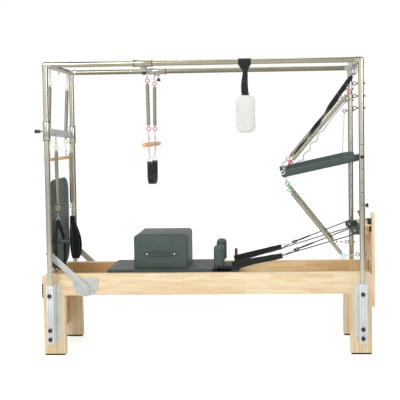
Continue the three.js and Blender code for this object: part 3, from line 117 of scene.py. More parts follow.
def stand_camera():
    """The photograph's viewpoint, from the fit of its straight edges."""
    yaw, pitch, roll = -0.0396, -0.0382, -0.0143
    ahead = at(math.sin(yaw) * math.cos(pitch), math.cos(yaw) * math.cos(pitch), math.sin(pitch))
    level = at(math.cos(yaw), -math.sin(yaw), 0)
    above = level.cross(ahead)
    right = math.cos(roll) * level + math.sin(roll) * above
    up = math.cos(roll) * above - math.sin(roll) * level
    data = bpy.data.cameras.new("studio_camera")
    data.lens, data.sensor_width, data.sensor_fit = 67.02, 36.0, "HORIZONTAL"
    data.shift_x, data.shift_y, data.clip_end = -0.0977, -0.1008, 60.0
    camera = stand("studio_camera", data)
    turn = Matrix((right, up, -ahead)).transposed().to_4x4()
    camera.matrix_world = Matrix.Translation(metres((462.96, -5608.67, 1618.25))) @ turn
    bpy.context.scene.camera = camera


stand_camera()

# ---------------------------------------------------------------- node graphs


class Graph:
    """A node tree, with nodes added one call each."""

    def __init__(self, tree):
        self.tree = tree

    def node(self, kind, inputs=None, out=0, **settings):
        made = self.tree.nodes.new(kind)
        for key, value in settings.items():
            setattr(made, key, value)
        for key, value in (inputs or {}).items():
            socket = made.inputs[key]
            if isinstance(value, bpy.types.NodeSocket):
                self.tree.links.new(value, socket)
            else:
                socket.default_value = value
        return made.outputs[out]

    def sum(self, operation, a, b):
        return self.node("ShaderNodeMath", {0: a, 1: b}, operation=operation)

    def vector(self, x, y, z):
        return self.node("ShaderNodeCombineXYZ", {0: x, 1: y, 2: z})


class Finish(Graph):
    """One procedural material. Constants sit on the shader's own sockets."""

    def __init__(self, name, roughness, metallic=0.0, **sockets):
        self.material = bpy.data.materials.new(name)
        self.material.use_nodes = True
        super().__init__(self.material.node_tree)
        self.shader = self.tree.nodes["Principled BSDF"]
        self.set("Roughness", roughness)
        self.set("Metallic", metallic)
        for key, value in sockets.items():
            self.set(key.replace("_", " "), value)
        self.place = self.node("ShaderNodeTexCoord", out="Object")
        self.unwrap = self.node("ShaderNodeTexCoord", out="UV")

    def set(self, key, value):
        if isinstance(value, bpy.types.NodeSocket):
            self.tree.links.new(value, self.shader.inputs[key])
        else:
            self.shader.inputs[key].default_value = value

    def axis(self, place, index):
        return self.node("ShaderNodeSeparateXYZ", {0: place}, out=index)

    def noise(self, scale, detail=2.0, place=None, roughness=0.5):
        place = self.place if place is None else place
        sizes = {"Vector": place, "Scale": scale, "Detail": detail, "Roughness": roughness}
        return self.node("ShaderNodeTexNoise", sizes)

    def ramp(self, value, low, high, colour_low=(0, 0, 0), colour_high=(1, 1, 1)):
        out = self.node("ShaderNodeValToRGB", {0: value})
        stops = out.node.color_ramp.elements
        stops[0].position, stops[1].position = low, high
        stops[0].color, stops[1].color = (*colour_low, 1), (*colour_high, 1)
        return out

    def mix(self, share, a, b, blend="MIX"):
        made = self.node("ShaderNodeMix", {0: share}, out=2, data_type="RGBA", blend_type=blend)
        for index, value in ((6, a), (7, b)):
            socket = made.node.inputs[index]
            if isinstance(value, bpy.types.NodeSocket):
                self.tree.links.new(value, socket)
            else:
                socket.default_value = (*value, 1)
        return made

    def stain(self, colour, value, low, high, share, darker):
        """colour, turned to darker by up to share where value is high."""
        return self.mix(self.sum("MULTIPLY", self.ramp(value, low, high), share), colour, darker)

    def add(self, value, factor, base):
        """value times factor plus base."""
        return self.node("ShaderNodeMath", {0: value, 1: factor, 2: base}, operation="MULTIPLY_ADD")

    def bump(self, height, distance, strength):
        self.set("Normal", self.node("ShaderNodeBump", {"Height": height, "Distance": distance, "Strength": strength}))


def shaded(colour, share):
    return tuple(c * share for c in colour)


def tone(r, g, b):
    """Linear colour of a 0 to 255 screen colour."""
    return tuple(((c / 255 + 0.055) / 1.055) ** 2.4 if c > 10 else c / 3295 for c in (r, g, b))


def make_wood(name, pale, deep, run, inner=None):
    """Glued staves with grain. run is the axis that the grain follows, or bed for rails with upright legs.
    inner is painted shade and painted warm bounce light on the rails' inner faces: its colour at the foot end and at
    the head end."""
    wood = Finish(name, 0.46, Coat_Weight=0.12, Coat_Roughness=0.35)
    x, y, z = (wood.axis(wood.place, i) for i in range(3))
    flat = {"X": (x, z, y), "Y": (y, x, z), "Z": (z, x, y)}

    def staves(along, across, other):
        level = wood.sum("ADD", across, other)
        stretched = (wood.sum("MULTIPLY", c, k) for c, k in ((along, 1.6), (level, 26.0), (other, 9.0)))
        return wood.vector(along, level, 0.0), wood.vector(*stretched)

    if run == "bed":
        below_rail = wood.sum("LESS_THAN", z, 0.44)
        edge = wood.sum("SUBTRACT", 1.072, wood.sum("MULTIPLY", below_rail, 0.035))
        leg = wood.sum("GREATER_THAN", wood.sum("ABSOLUTE", x, 0.0), edge)
        board, grain = (wood.mix(leg, *pair) for pair in zip(staves(*flat["X"]), staves(*flat["Z"])))
    else:
        board, grain = staves(*flat[run])
    brick = wood.node(
        "ShaderNodeTexBrick",
        {"Vector": board, "Color1": (*pale, 1), "Color2": (*deep, 1), "Scale": 1.0, "Mortar Size": 0.0,
         "Bias": -0.25, "Brick Width": 0.46, "Row Height": 0.0387},
        offset=0.37,
    )
    broad = wood.noise(2.2, 4.0, grain, 0.55)
    fine = wood.noise(14.0, 3.0, grain, 0.6)
    streak = tuple(c * s for c, s in zip(deep, (0.86, 0.78, 0.68)))
    colour = wood.mix(wood.ramp(broad, 0.46, 0.8), brick, streak)
    colour = wood.stain(colour, fine, 0.5, 0.78, 0.35, streak)
    # Painted shade and warm bounce light on the rails' inner faces above the rail line, darker and warmer towards the
    # foot end.
    if inner:
        near = wood.sum("LESS_THAN", wood.sum("ABSOLUTE", y, 0.0), 0.2262)
        inside = wood.sum("MULTIPLY", near, wood.sum("GREATER_THAN", z, 0.437))
        painted_inner_shade = wood.ramp(wood.add(x, 0.42, 0.42), 0.0, 0.85, *inner)
        inner_shade_tint = wood.mix(wood.sum("MULTIPLY", inside, 0.85), (1, 1, 1), painted_inner_shade)
        colour = wood.mix(1.0, colour, inner_shade_tint, "MULTIPLY")
    wood.set("Base Color", colour)
    wood.bump(wood.sum("ADD", broad, fine), 0.0004, 0.25)
    return wood.material


def make_metal(name, colour, roughness, brush=None, speck=0.0, metallic=1.0):
    """Bare, brushed or speckled metal. brush is the three stretches of the brushing."""
    metal = Finish(name, roughness, metallic)
    if brush:
        x, y, z = (metal.axis(metal.place, i) for i in range(3))
        lines = metal.vector(*(metal.sum("MULTIPLY", c, k) for c, k in zip((x, y, z), brush)))
        hair = metal.noise(1.0, 3.0, lines)
    else:
        hair = metal.noise(60.0, 3.0)
    cloud = metal.noise(7.0, 3.0)
    darker = shaded(colour, 0.82)
    shade = metal.mix(metal.ramp(cloud, 0.35, 0.75), colour, darker)
    shade = metal.stain(shade, hair, 0.35, 0.7, 0.3, darker)
    if speck:
        flecks = metal.noise(420.0, 1.0)
        shade = metal.stain(shade, flecks, 0.52, 0.62, speck, shaded(colour, 0.55))
        metal.bump(flecks, 0.0003, 0.4)
    else:
        metal.bump(hair, 0.00005, 0.3)
    metal.set("Base Color", shade)
    metal.set("Roughness", metal.add(hair, 0.16, roughness - 0.08))
    return metal.material


def make_vinyl(name, colour):
    """Soft upholstery vinyl with a fine pebble grain and faint rubbed places."""
    vinyl = Finish(name, 0.52, Specular_IOR_Level=0.62, Sheen_Weight=0.1, Sheen_Roughness=0.35)
    cells = vinyl.node("ShaderNodeTexVoronoi", {"Vector": vinyl.place, "Scale": 780.0}, feature="SMOOTH_F1")
    soft = vinyl.noise(9.0, 4.0)
    rubbed = tuple(min(1.0, c * 1.22 + 0.004) for c in colour)
    shade = vinyl.mix(vinyl.ramp(soft, 0.42, 0.78), colour, rubbed)
    pits = vinyl.sum("MULTIPLY", vinyl.ramp(cells, 0.0, 0.32, (1, 1, 1), (0, 0, 0)), 0.3)
    vinyl.set("Base Color", vinyl.mix(pits, shade, shaded(colour, 0.8)))
    vinyl.set("Roughness", vinyl.add(soft, 0.2, 0.42))
    vinyl.bump(vinyl.sum("ADD", cells, vinyl.sum("MULTIPLY", vinyl.noise(60.0), 0.6)), 0.00022, 0.8)
    return vinyl.material


def make_webbing(name, colour, light):
    """Woven band: ribs along it and a herringbone across, on the piece's own UV in metres."""
    web = Finish(name, 0.82, Sheen_Weight=0.25, Sheen_Roughness=0.5, Specular_IOR_Level=0.3)
    u, v = web.axis(web.unwrap, 0), web.axis(web.unwrap, 1)
    pitch = 0.0016
    step = 2 * math.pi / pitch
    warp = web.sum("SINE", web.sum("MULTIPLY", v, step), 0.0)
    zigzag = web.sum("PINGPONG", v, pitch * 4)
    weft = web.sum("SINE", web.sum("MULTIPLY", web.sum("ADD", u, zigzag), step), 0.0)
    weave = web.sum("MULTIPLY", web.sum("ADD", warp, weft), 0.25)
    fuzz = web.noise(260.0, 3.0)
    raised = web.sum("ADD", weave, fuzz)
    web.set("Base Color", web.mix(web.ramp(raised, 0.3, 0.95), colour, light))
    web.bump(raised, 0.0005, 0.8)
    return web.material


def make_braid(name, colour, light):
    """Round braided rope: two families of strands crossing, on its UV in metres."""
    braid = Finish(name, 0.78, Sheen_Weight=0.2, Specular_IOR_Level=0.3)
    u, v = braid.axis(braid.unwrap, 0), braid.axis(braid.unwrap, 1)
    families = (braid.sum("MULTIPLY", braid.sum(way, u, v), 1500.0) for way in ("ADD", "SUBTRACT"))
    strands = braid.sum("MAXIMUM", *(braid.sum("SINE", family, 0.0) for family in families))
    braid.set("Base Color", braid.mix(braid.ramp(strands, 0.1, 1.0), colour, light))
    braid.bump(strands, 0.0006, 0.7)
    return braid.material


def make_matte(name, colour, roughness, scale=320.0, depth=0.0002, sheen=0.0, spread=0.8):
    """Moulded plastic, rubber, foam, enamel or wool: scale and depth of its grain, and how dark it gets in places."""
    matte = Finish(name, roughness, Sheen_Weight=sheen, Sheen_Roughness=0.6)
    fine = matte.noise(scale, 3.0)
    soft = matte.noise(12.0, 3.0)
    shade = matte.mix(matte.ramp(soft, 0.35, 0.75), colour, shaded(colour, spread))
    matte.set("Base Color", matte.stain(shade, fine, 0.5, 0.75, 0.35, shaded(colour, spread * 0.85)))
    matte.bump(fine, depth, 0.6)
    return matte.material


MAPLE, DEEP_MAPLE = tone(234, 217, 182), tone(223, 195, 152)
finish = {
    # The last pair is painted shade and bounce light on the rails' inner faces, at the foot end and at the head end.
    "bed_wood": make_wood("maple_bed", MAPLE, DEEP_MAPLE, "bed", (tone(226, 196, 158), tone(248, 234, 214))),
    "cross_wood": make_wood("maple_crosswise", tone(226, 190, 142), tone(205, 160, 108), "Y"),
    "upright_wood": make_wood("maple_upright", tone(240, 222, 188), tone(232, 204, 160), "Z"),
    "trapeze_wood": make_wood("trapeze_wood", tone(226, 178, 126), tone(214, 158, 104), "Y"),
    "bar_wood": make_wood("maple_bar", tone(228, 192, 146), tone(216, 170, 118), "Y"),
    "tube": make_metal("champagne_tube", tone(212, 208, 192), 0.2, (5, 5, 260)),
    "rail_tube": make_metal("champagne_tube_level", tone(182, 177, 156), 0.24, (5, 260, 260)),
    "steel": make_metal("bright_steel", tone(198, 198, 194), 0.27),
    "bright": make_metal("white_zinc", tone(232, 233, 230), 0.35, metallic=0.7),
    "dark_steel": make_metal("dark_steel", tone(88, 87, 80), 0.38),
    "spring": make_metal("spring_wire", tone(186, 181, 162), 0.42),
    "socket": make_metal("satin_aluminium", tone(226, 230, 231), 0.4, (40, 40, 300), metallic=0.35),
    "track": make_metal("track_aluminium", tone(206, 207, 206), 0.38, (300, 30, 30)),
    "arm": make_metal("speckled_silver", tone(202, 204, 200), 0.45, speck=0.35, metallic=0.45),
    "vinyl": make_vinyl("slate_vinyl", tone(53, 68, 64)),
    "piping": make_vinyl("slate_piping", tone(34, 40, 39)),
    "slate": make_matte("slate_enamel", tone(60, 73, 71), 0.42, 240.0, 0.0001, spread=0.9),
    "black": make_matte("black_plastic", tone(38, 40, 40), 0.5),
    "deck": make_matte("deck_laminate", tone(46, 50, 50), 0.6),
    "rubber": make_matte("rubber", tone(32, 33, 34), 0.85, 200.0, 0.0003),
    "foam": make_matte("grip_foam", tone(44, 47, 48), 0.93, 900.0, 0.0005),
    "webbing": make_webbing("black_webbing", tone(15, 19, 19), tone(33, 38, 38)),
    "braid": make_braid("rope_braid", tone(26, 30, 30), tone(62, 68, 66)),
    "strap_vinyl": make_vinyl("strap_vinyl", tone(46, 54, 52)),
    # The far rail's tube: a darker copy of the level tube, painted shade.
    "far_rail_painted_shade": make_metal("far_rail_tube", tone(150, 146, 126), 0.3, (5, 260, 260)),
    "plate": make_metal("brushed_plate", tone(186, 190, 192), 0.42, metallic=0.6),
    "slate_foam": make_matte("slate_grip_foam", tone(74, 86, 84), 0.9, 900.0, 0.0004),
    "soft_grey": make_matte("soft_grey_piping", tone(84, 92, 90), 0.85, 400.0, 0.0003),
    "fleece": make_matte("sheepskin", tone(214, 217, 209), 0.95, 300.0, 0.0009, sheen=0.1, spread=0.97),
    "yellow": make_matte("yellow_coating", tone(214, 214, 120), 0.4, spread=0.92),
    "red": make_matte("red_coating", tone(214, 78, 88), 0.4, spread=0.92),
    "green": make_matte("green_coating", tone(52, 190, 135), 0.4, spread=0.92),
    "white": make_matte("white_cap", tone(244, 244, 242), 0.35, spread=0.96),
    "thread": make_matte("dark_thread", tone(30, 36, 35), 0.8, 900.0, 0.0002),
}

# ---------------------------------------------------------------- growth trees: what repeats


def growth(name, **sizes):
    """A geometry tree with named inputs. Returns its graph and the entry's outputs by name."""
    tree = bpy.data.node_groups.new(name, "GeometryNodeTree")
    tree.interface.new_socket(name="Geometry", in_out="INPUT", socket_type="NodeSocketGeometry")
    tree.interface.new_socket(name="Geometry", in_out="OUTPUT", socket_type="NodeSocketGeometry")
    kinds = {float: "NodeSocketFloat", int: "NodeSocketInt", tuple: "NodeSocketVector"}
    for key, value in sizes.items():
        made = tree.interface.new_socket(name=key, in_out="INPUT", socket_type=kinds[type(value)])
        made.default_value = value
    tree.interface.new_socket(name="Finish", in_out="INPUT", socket_type="NodeSocketMaterial")
    graph = Graph(tree)
    graph.entry = tree.nodes.new("NodeGroupInput").outputs
    return graph


def close_growth(graph, geometry):
    """Realize Instances and Set Material end every tree."""
    real = graph.node("GeometryNodeRealizeInstances", {"Geometry": geometry})
    done = graph.node("GeometryNodeSetMaterial", {"Geometry": real, "Material": graph.entry["Finish"]})
    exit_node = graph.tree.nodes.new("NodeGroupOutput")
    graph.tree.links.new(done, exit_node.inputs[0])
    return graph.tree


def grow(tree, mesh=None, **values):
    """The plain mesh that the tree makes from a mesh, or from nothing."""
    carrier = stand("growth_carrier", mesh or bpy.data.meshes.new("growth_start"))
    modifier = carrier.modifiers.new("growth", "NODES")
    modifier.node_group = tree
    for socket in tree.interface.items_tree:
        if socket.in_out == "INPUT" and socket.name in values:
            modifier[socket.identifier] = values[socket.name]
    view = bpy.context.evaluated_depsgraph_get()
    made = bpy.data.meshes.new_from_object(carrier.evaluated_get(view))
    start = carrier.data
    bpy.data.objects.remove(carrier)
    bpy.data.meshes.remove(start)
    return made


def wound_spring_tree():
    """Close-wound coil along +Z whose last turns draw in at both ends."""
    g = growth("wound_spring", Turns=100.0, Length=300.0, Mean_radius=12.0, Wire=1.4, Steps=12, Drawn_in=4.0)
    e = g.entry
    coil = g.node("GeometryNodeCurveSpiral", {
        "Resolution": e["Steps"], "Rotations": e["Turns"], "Start Radius": e["Mean_radius"],
        "End Radius": e["Mean_radius"], "Height": e["Length"]})
    share = g.node("GeometryNodeSplineParameter", out="Factor")
    near_end = g.sum("MINIMUM", share, g.sum("SUBTRACT", 1.0, share))
    turns_in = g.sum("DIVIDE", g.sum("MULTIPLY", near_end, e["Turns"]), e["Drawn_in"])
    draw = g.sum("MINIMUM", g.sum("ADD", turns_in, 0.35), 1.0)
    inward = {0: g.node("GeometryNodeInputPosition"), 1: g.vector(draw, draw, 1.0)}
    drawn = g.node("ShaderNodeVectorMath", inward, operation="MULTIPLY")
    shaped = g.node("GeometryNodeSetPosition", {"Geometry": coil, "Position": drawn})
    section = g.node("GeometryNodeCurvePrimitiveCircle", {"Resolution": 6, "Radius": e["Wire"]})
    wire = g.node("GeometryNodeCurveToMesh", {"Curve": shaped, "Profile Curve": section, "Fill Caps": True})
    return close_growth(g, wire)


def placed_along(g, piece, twist):
    """Copies of piece along the entry's line, a pitch apart, each turned by twist about the line."""
    e = g.entry
    line = g.node("GeometryNodeMeshToCurve", {"Mesh": e["Geometry"]})
    even = g.node("GeometryNodeResampleCurve", {"Curve": line, "Length": e["Pitch"]}, mode="LENGTH")
    heading = g.node("FunctionNodeAlignRotationToVector", {"Vector": g.node("GeometryNodeInputTangent")}, axis="X")
    turn = g.node("FunctionNodeEulerToRotation", {0: g.vector(twist, 0.0, 0.0)})
    turned = g.node("FunctionNodeRotateRotation", {"Rotation": heading, "Rotate By": turn}, rotation_space="LOCAL")
    copies = g.node("GeometryNodeInstanceOnPoints", {"Points": even, "Instance": piece, "Rotation": turned})
    return close_growth(g, copies)


def link_chain_tree():
    g = growth("link_chain", Pitch=7.0, Link_length=10.0, Link_width=6.0, Wire=0.9)
    e = g.entry
    round_link = g.node("GeometryNodeCurvePrimitiveCircle", {"Resolution": 12, "Radius": 0.5})
    size = g.vector(e["Link_length"], e["Link_width"], 1.0)
    oval = g.node("GeometryNodeTransform", {"Geometry": round_link, "Scale": size})
    section = g.node("GeometryNodeCurvePrimitiveCircle", {"Resolution": 6, "Radius": e["Wire"]})
    link = g.node("GeometryNodeCurveToMesh", {"Curve": oval, "Profile Curve": section})
    parity = g.sum("MODULO", g.node("GeometryNodeInputIndex"), 2.0)
    return placed_along(g, link, g.sum("MULTIPLY", parity, math.pi / 2))


def stitch_row_tree():
    g = growth("stitch_row", Pitch=4.0, Stitch_length=2.8, Thread=0.9)
    e = g.entry
    ball = g.node("GeometryNodeMeshUVSphere", {"Segments": 6, "Rings": 4, "Radius": 0.5})
    size = g.vector(e["Stitch_length"], e["Thread"], e["Thread"])
    stitch = g.node("GeometryNodeTransform", {"Geometry": ball, "Scale": size})
    return placed_along(g, stitch, 0.0)


def screw_heads_tree():
    """A domed head on each point, facing one way."""
    g = growth("screw_heads", Head_radius=4.0, Rise_share=0.45, Facing=(0.0, -1.0, 0.0))
    e = g.entry
    ball = g.node("GeometryNodeMeshUVSphere", {"Segments": 16, "Rings": 8, "Radius": e["Head_radius"]})
    dome = g.node("GeometryNodeTransform", {"Geometry": ball, "Scale": g.vector(1.0, 1.0, e["Rise_share"])})
    heading = g.node("FunctionNodeAlignRotationToVector", {"Vector": e["Facing"]}, axis="Z")
    points = g.node("GeometryNodeMeshToPoints", {"Mesh": e["Geometry"]})
    copies = g.node("GeometryNodeInstanceOnPoints", {"Points": points, "Instance": dome, "Rotation": heading})
    return close_growth(g, copies)


wound_spring = wound_spring_tree()
link_chain = link_chain_tree()
stitch_row = stitch_row_tree()
screw_heads = screw_heads_tree()

# ---------------------------------------------------------------- forms


def line_mesh(points, closed=False):
    mesh = bpy.data.meshes.new("line")
    count = len(points)
    edges = [(i, (i + 1) % count) for i in range(count if closed else count - 1)]
    mesh.from_pydata([tuple(p) for p in points], edges, [])
    return mesh


def rounded(points, radius, steps=5, closed=True):
    """A line with each corner turned into a short curve."""
    count, out = len(points), []
    for i, corner in enumerate(points):
        if not closed and i in (0, count - 1):
            out.append(corner.copy())
            continue
        before, after = points[i - 1] - corner, points[(i + 1) % count] - corner
        reach = min(radius, before.length * 0.45, after.length * 0.45)
        start, stop = corner + before.normalized() * reach, corner + after.normalized() * reach
        for s in range(steps + 1):
            t = s / steps
            out.append(start * (1 - t) ** 2 + corner * (2 * t * (1 - t)) + stop * t ** 2)
    return out


def filled(points, longest):
    """The same open line with points at most longest apart."""
    out = [points[0].copy()]
    for a, b in zip(points, points[1:]):
        parts = max(1, math.ceil((b - a).length / longest))
        out += [a.lerp(b, (i + 1) / parts) for i in range(parts)]
    return out


def toward(start, goal, reach):
    return start + (goal - start).normalized() * reach


def frame_line(points, closed):
    """Tangents of a line at its points."""
    count, out = len(points), []
    for i in range(count):
        before = points[i - 1] if closed or i else points[0]
        after = points[(i + 1) % count] if closed or i < count - 1 else points[-1]
        out.append((after - before).normalized())
    return out


def rounded_rectangle(half_x, half_y, corner, pull=0.0, steps=6, along=8):
    """Outline of a pad from above, its sides drawn in by pull between the corners."""
    signs, points = ((1, 1), (-1, 1), (-1, -1), (1, -1)), []
    for k, (sx, sy) in enumerate(signs):
        cx, cy = sx * (half_x - corner), sy * (half_y - corner)
        for s in range(steps + 1):
            a = math.pi / 2 * (k + s / steps)
            points.append((cx + corner * math.cos(a), cy + corner * math.sin(a)))
        a, (nx, ny), (x0, y0) = math.pi / 2 * (k + 1), signs[(k + 1) % 4], points[-1]
        out_x, out_y = math.cos(a), math.sin(a)
        x1, y1 = nx * (half_x - corner) + corner * out_x, ny * (half_y - corner) + corner * out_y
        for s in range(1, along):
            t = s / along
            draw = pull * math.sin(math.pi * t)
            points.append((x0 + (x1 - x0) * t - draw * out_x, y0 + (y1 - y0) * t - draw * out_y))
    return points


BOX_FACES = ((0, 1, 2, 3), (4, 5, 6, 7), (0, 1, 5, 4), (1, 2, 6, 5), (2, 3, 7, 6), (3, 0, 4, 7))
HUB = 0.1
SHARP_ANGLE = 0.4


class Form:
    """Shapes in millimetres, gathered into one piece."""

    def __init__(self):
        self.bm = bmesh.new()
        self.uv = self.bm.loops.layers.uv.new("UVMap")
        self.finishes = []

    def paint(self, look):
        if look not in self.finishes:
            self.finishes.append(look)
        return self.finishes.index(look)

    def skin(self, rows, look, loop=False, caps=True, along=None, around=1.0):
        """Quads between rows of points, each row a closed ring. UV is in metres."""
        index, count = self.paint(look), len(rows[0])
        verts = [[self.bm.verts.new(p) for p in row] for row in rows]
        along = along or list(range(len(rows) + 1))
        faces = []
        for r in range(len(rows) if loop else len(rows) - 1):
            nxt = (r + 1) % len(rows)
            for j in range(count):
                k = (j + 1) % count
                face = self.bm.faces.new((verts[r][j], verts[r][k], verts[nxt][k], verts[nxt][j]))
                spots = ((r, j), (r, j + 1), (r + 1, j + 1), (r + 1, j))
                for corner, (a, b) in zip(face.loops, spots):
                    corner[self.uv].uv = (along[a] * MM, b / count * around * MM)
                faces.append(face)
        if caps and not loop:
            faces += [self.bm.faces.new(verts[0][::-1]), self.bm.faces.new(verts[-1])]
        for face in faces:
            face.material_index, face.smooth = index, True
        bmesh.ops.recalc_face_normals(self.bm, faces=faces)

    def sweep(self, points, radius, look, sides=16, closed=False):
        """A round section along a line. radius is one number or one for each point."""
        tangents = frame_line(points, closed)
        radii = radius if isinstance(radius, list) else [radius] * len(points)
        normal, rows, along = tangents[0].orthogonal().normalized(), [], [0.0]
        for i, (p, t) in enumerate(zip(points, tangents)):
            normal = (normal - t * normal.dot(t)).normalized()
            rows.append(circle(p, normal, t.cross(normal), radii[i], sides))
            along.append(along[-1] + (points[(i + 1) % len(points)] - p).length)
        self.skin(rows, look, loop=closed, along=along, around=2 * math.pi * max(radii))

    def band(self, points, across, width, thick, look="webbing", closed=True, widths=None):
        """Webbing along a line, its width along the direction across, with rounded edges."""
        rows, along, deep = [], [0.0], thick / 2
        edge = [(math.cos(a), math.sin(a) / 0.78) for a in (0.9, 0.0, -0.9)]
        for i, (p, t) in enumerate(zip(points, frame_line(points, closed))):
            out = t.cross(across).normalized()
            flat = out.cross(t).normalized()
            half = (widths[i] if widths else width) / 2 - deep
            row = []
            for way in (1, -1):
                row += [p + flat * way * (half + deep * c) + out * way * deep * s for c, s in edge]
                row += [p + flat * way * half * (k / 2 - 1) - out * way * deep for k in (3, 2, 1)]
            rows.append(row)
            along.append(along[-1] + (points[(i + 1) % len(points)] - p).length)
        self.skin(rows, look, loop=closed, along=along, around=2 * (width + thick))

    def strip(self, points, across, width, thick, look="webbing", widths=None):
        """Webbing with two ends."""
        self.band(points, across, width, thick, look, False, widths)

    def rod(self, a, b, radius, look, sides=20):
        self.sweep([a, b], radius, look, sides)

    def ring(self, centre, normal, radius, wire, look, count=28, sides=10):
        u = normal.orthogonal().normalized()
        points = circle(centre, u, normal.cross(u).normalized(), radius, count)
        self.sweep(points, wire, look, sides, closed=True)

    def turned(self, profile, origin, axis, look, count=32, loop=False):
        """A lathe form. profile is (radius, height) along the axis."""
        u, along = axis.orthogonal().normalized(), [0.0]
        v = axis.cross(u)
        rows = [circle(origin + axis * h, u, v, r, count) for r, h in profile]
        for (r0, h0), (r1, h1) in zip(profile, profile[1:] + profile[:1]):
            along.append(along[-1] + math.hypot(r1 - r0, h1 - h0))
        self.skin(rows, look, loop=loop, along=along, around=2 * math.pi * max(r for r, _ in profile))

    def tube(self, outline, origin, axis, look, count):
        """A lathe form whose profile is a closed outline clear of the axis."""
        self.turned(outline, origin, axis, look, count, loop=True)

    def capped(self, outline, origin, axis, look, count):
        """A lathe form that closes on its axis at both ends of the outline."""
        self.turned([(HUB, outline[0][1]), *outline, (HUB, outline[-1][1])], origin, axis, look, count)

    def drum(self, radius, low, high, origin, axis, look, count):
        self.capped([(radius, low), (radius, high)], origin, axis, look, count)

    def take(self, mesh, look, place=None):
        """Adds a mesh, in millimetres."""
        if place:
            mesh.transform(place)
        before, index = len(self.bm.faces), self.paint(look)
        self.bm.from_mesh(mesh)
        self.bm.faces.ensure_lookup_table()
        for face in self.bm.faces[before:]:
            face.material_index, face.smooth = index, True
        bpy.data.meshes.remove(mesh)

    def solid(self, points, faces, look, bevel):
        """A flat-sided solid with its edges eased."""
        part = bmesh.new()
        verts = [part.verts.new(p) for p in points]
        for face in faces:
            part.faces.new([verts[i] for i in face])
        bmesh.ops.recalc_face_normals(part, faces=part.faces)
        if bevel:
            sharp = [e for e in part.edges if e.calc_face_angle(0) > SHARP_ANGLE]
            bmesh.ops.bevel(part, geom=sharp, offset=bevel, segments=2, profile=0.5, affect="EDGES", clamp_overlap=True)
        mesh = bpy.data.meshes.new("solid")
        part.to_mesh(mesh)
        part.free()
        self.take(mesh, look)

    def block(self, lo, hi, look, bevel=1.5):
        (x0, y0, z0), (x1, y1, z1) = lo, hi
        corners = [at(x, y, z) for z in (z0, z1) for x, y in ((x0, y0), (x1, y0), (x1, y1), (x0, y1))]
        self.solid(corners, BOX_FACES, look, bevel)

    def block_on(self, spot, run, flat, halves, look):
        """A small block at spot, its sides along run, flat and their normal."""
        out = run.cross(flat)
        corners = [spot + run * a * halves[0] + flat * b * halves[1] + out * c * halves[2]
                   for c in BOTH for a, b in ((-1, -1), (1, -1), (1, 1), (-1, 1))]
        self.solid(corners, BOX_FACES, look, 1.2)

    def plate(self, outline, y0, y1, look, bevel=0.8):
        """An outline in X and Z with a thickness along Y."""
        count = len(outline)
        corners = [at(x, y, z) for y in (y0, y1) for x, z in outline]
        sides = [(i, (i + 1) % count, count + (i + 1) % count, count + i) for i in range(count)]
        self.solid(corners, [tuple(range(count)), tuple(range(count, 2 * count)), *sides], look, bevel)

    def pad(self, place, half_x, half_y, height, corner, crown, roll, waist, look="vinyl"):
        """Firm upholstery: rolled edges, sides drawn in at mid height and a crowned top. place takes it there."""
        pull, rows, body = waist * (half_x + half_y), [], height - crown
        quarter = [math.pi / 2 * s / 4 for s in range(5)]

        def level(inset, z, draw=0.0, share=1.0):
            ring = rounded_rectangle(half_x - inset, half_y - inset, max(corner - inset, 1.0), draw)
            rows.append([place @ at(x * share, y * share, z) for x, y in ring])

        for share in (0.02, 0.5, 0.9):
            level(roll, 0.0, 0.0, share)
        for a in quarter:
            level(roll * (1 - math.sin(a)), roll * (1 - math.cos(a)))
        for t in (0.25, 0.5, 0.75):
            level(0.0, roll + (body - 2 * roll) * t, pull * math.sin(math.pi * t))
        for a in quarter:
            level(roll * (1 - math.cos(a)), body - roll * (1 - math.sin(a)))
        for share in (0.96, 0.9, 0.8, 0.66, 0.5, 0.33, 0.16, 0.02):
            level(roll, body + crown * (1 - share ** 2.2) ** 0.8, 0.0, share)
        self.skin(rows, look)

    def piping(self, place, half_x, half_y, corner, z, radius=1.9):
        ring = [place @ at(x, y, z) for x, y in rounded_rectangle(half_x, half_y, corner)]
        self.sweep(ring, radius, "piping", 8, closed=True)

    def stitches(self, points, pitch=4.5, closed=False):
        row = grow(stitch_row, line_mesh(points, closed), Pitch=pitch, Stitch_length=pitch * 0.7, Thread=0.9)
        self.take(row, "thread")

    def links(self, points, look="steel", pitch=8.0, wire=1.0):
        size = {"Link_length": pitch * 1.38, "Link_width": pitch * 0.86, "Wire": wire}
        self.take(grow(link_chain, line_mesh(points), Pitch=pitch, **size), look)

    def heads(self, spots, facing, radius=4.0, look="steel"):
        mesh = bpy.data.meshes.new("spots")
        mesh.from_pydata([tuple(p) for p in spots], [], [])
        way = tuple(c + 0.0 for c in facing)
        self.take(grow(screw_heads, mesh, Head_radius=radius, Rise_share=0.45, Facing=way), look)

    def coil(self, spot, run, length, turns, radius, wire, steps):
        """A close-wound spring that starts at spot."""
        size = {"Turns": turns, "Length": length, "Mean_radius": radius, "Wire": wire, "Steps": steps}
        self.take(grow(wound_spring, None, Drawn_in=4.0, **size), "spring", turned_to(spot, run))

    def carve(self, cutter):
        """Takes the cutter's solids away from this form."""
        body, tool = bpy.data.meshes.new("body"), bpy.data.meshes.new("tool")
        self.bm.to_mesh(body)
        cutter.bm.to_mesh(tool)
        pair = stand("carving", body), stand("cutter", tool)
        cut = pair[0].modifiers.new("cut", "BOOLEAN")
        cut.operation, cut.solver, cut.object = "DIFFERENCE", "EXACT", pair[1]
        view = bpy.context.evaluated_depsgraph_get()
        result = bpy.data.meshes.new_from_object(pair[0].evaluated_get(view))
        self.bm.clear()
        self.bm.from_mesh(result)
        self.uv = self.bm.loops.layers.uv.verify()
        for one in pair:
            bpy.data.objects.remove(one)
        for mesh in (body, tool, result):
            bpy.data.meshes.remove(mesh)

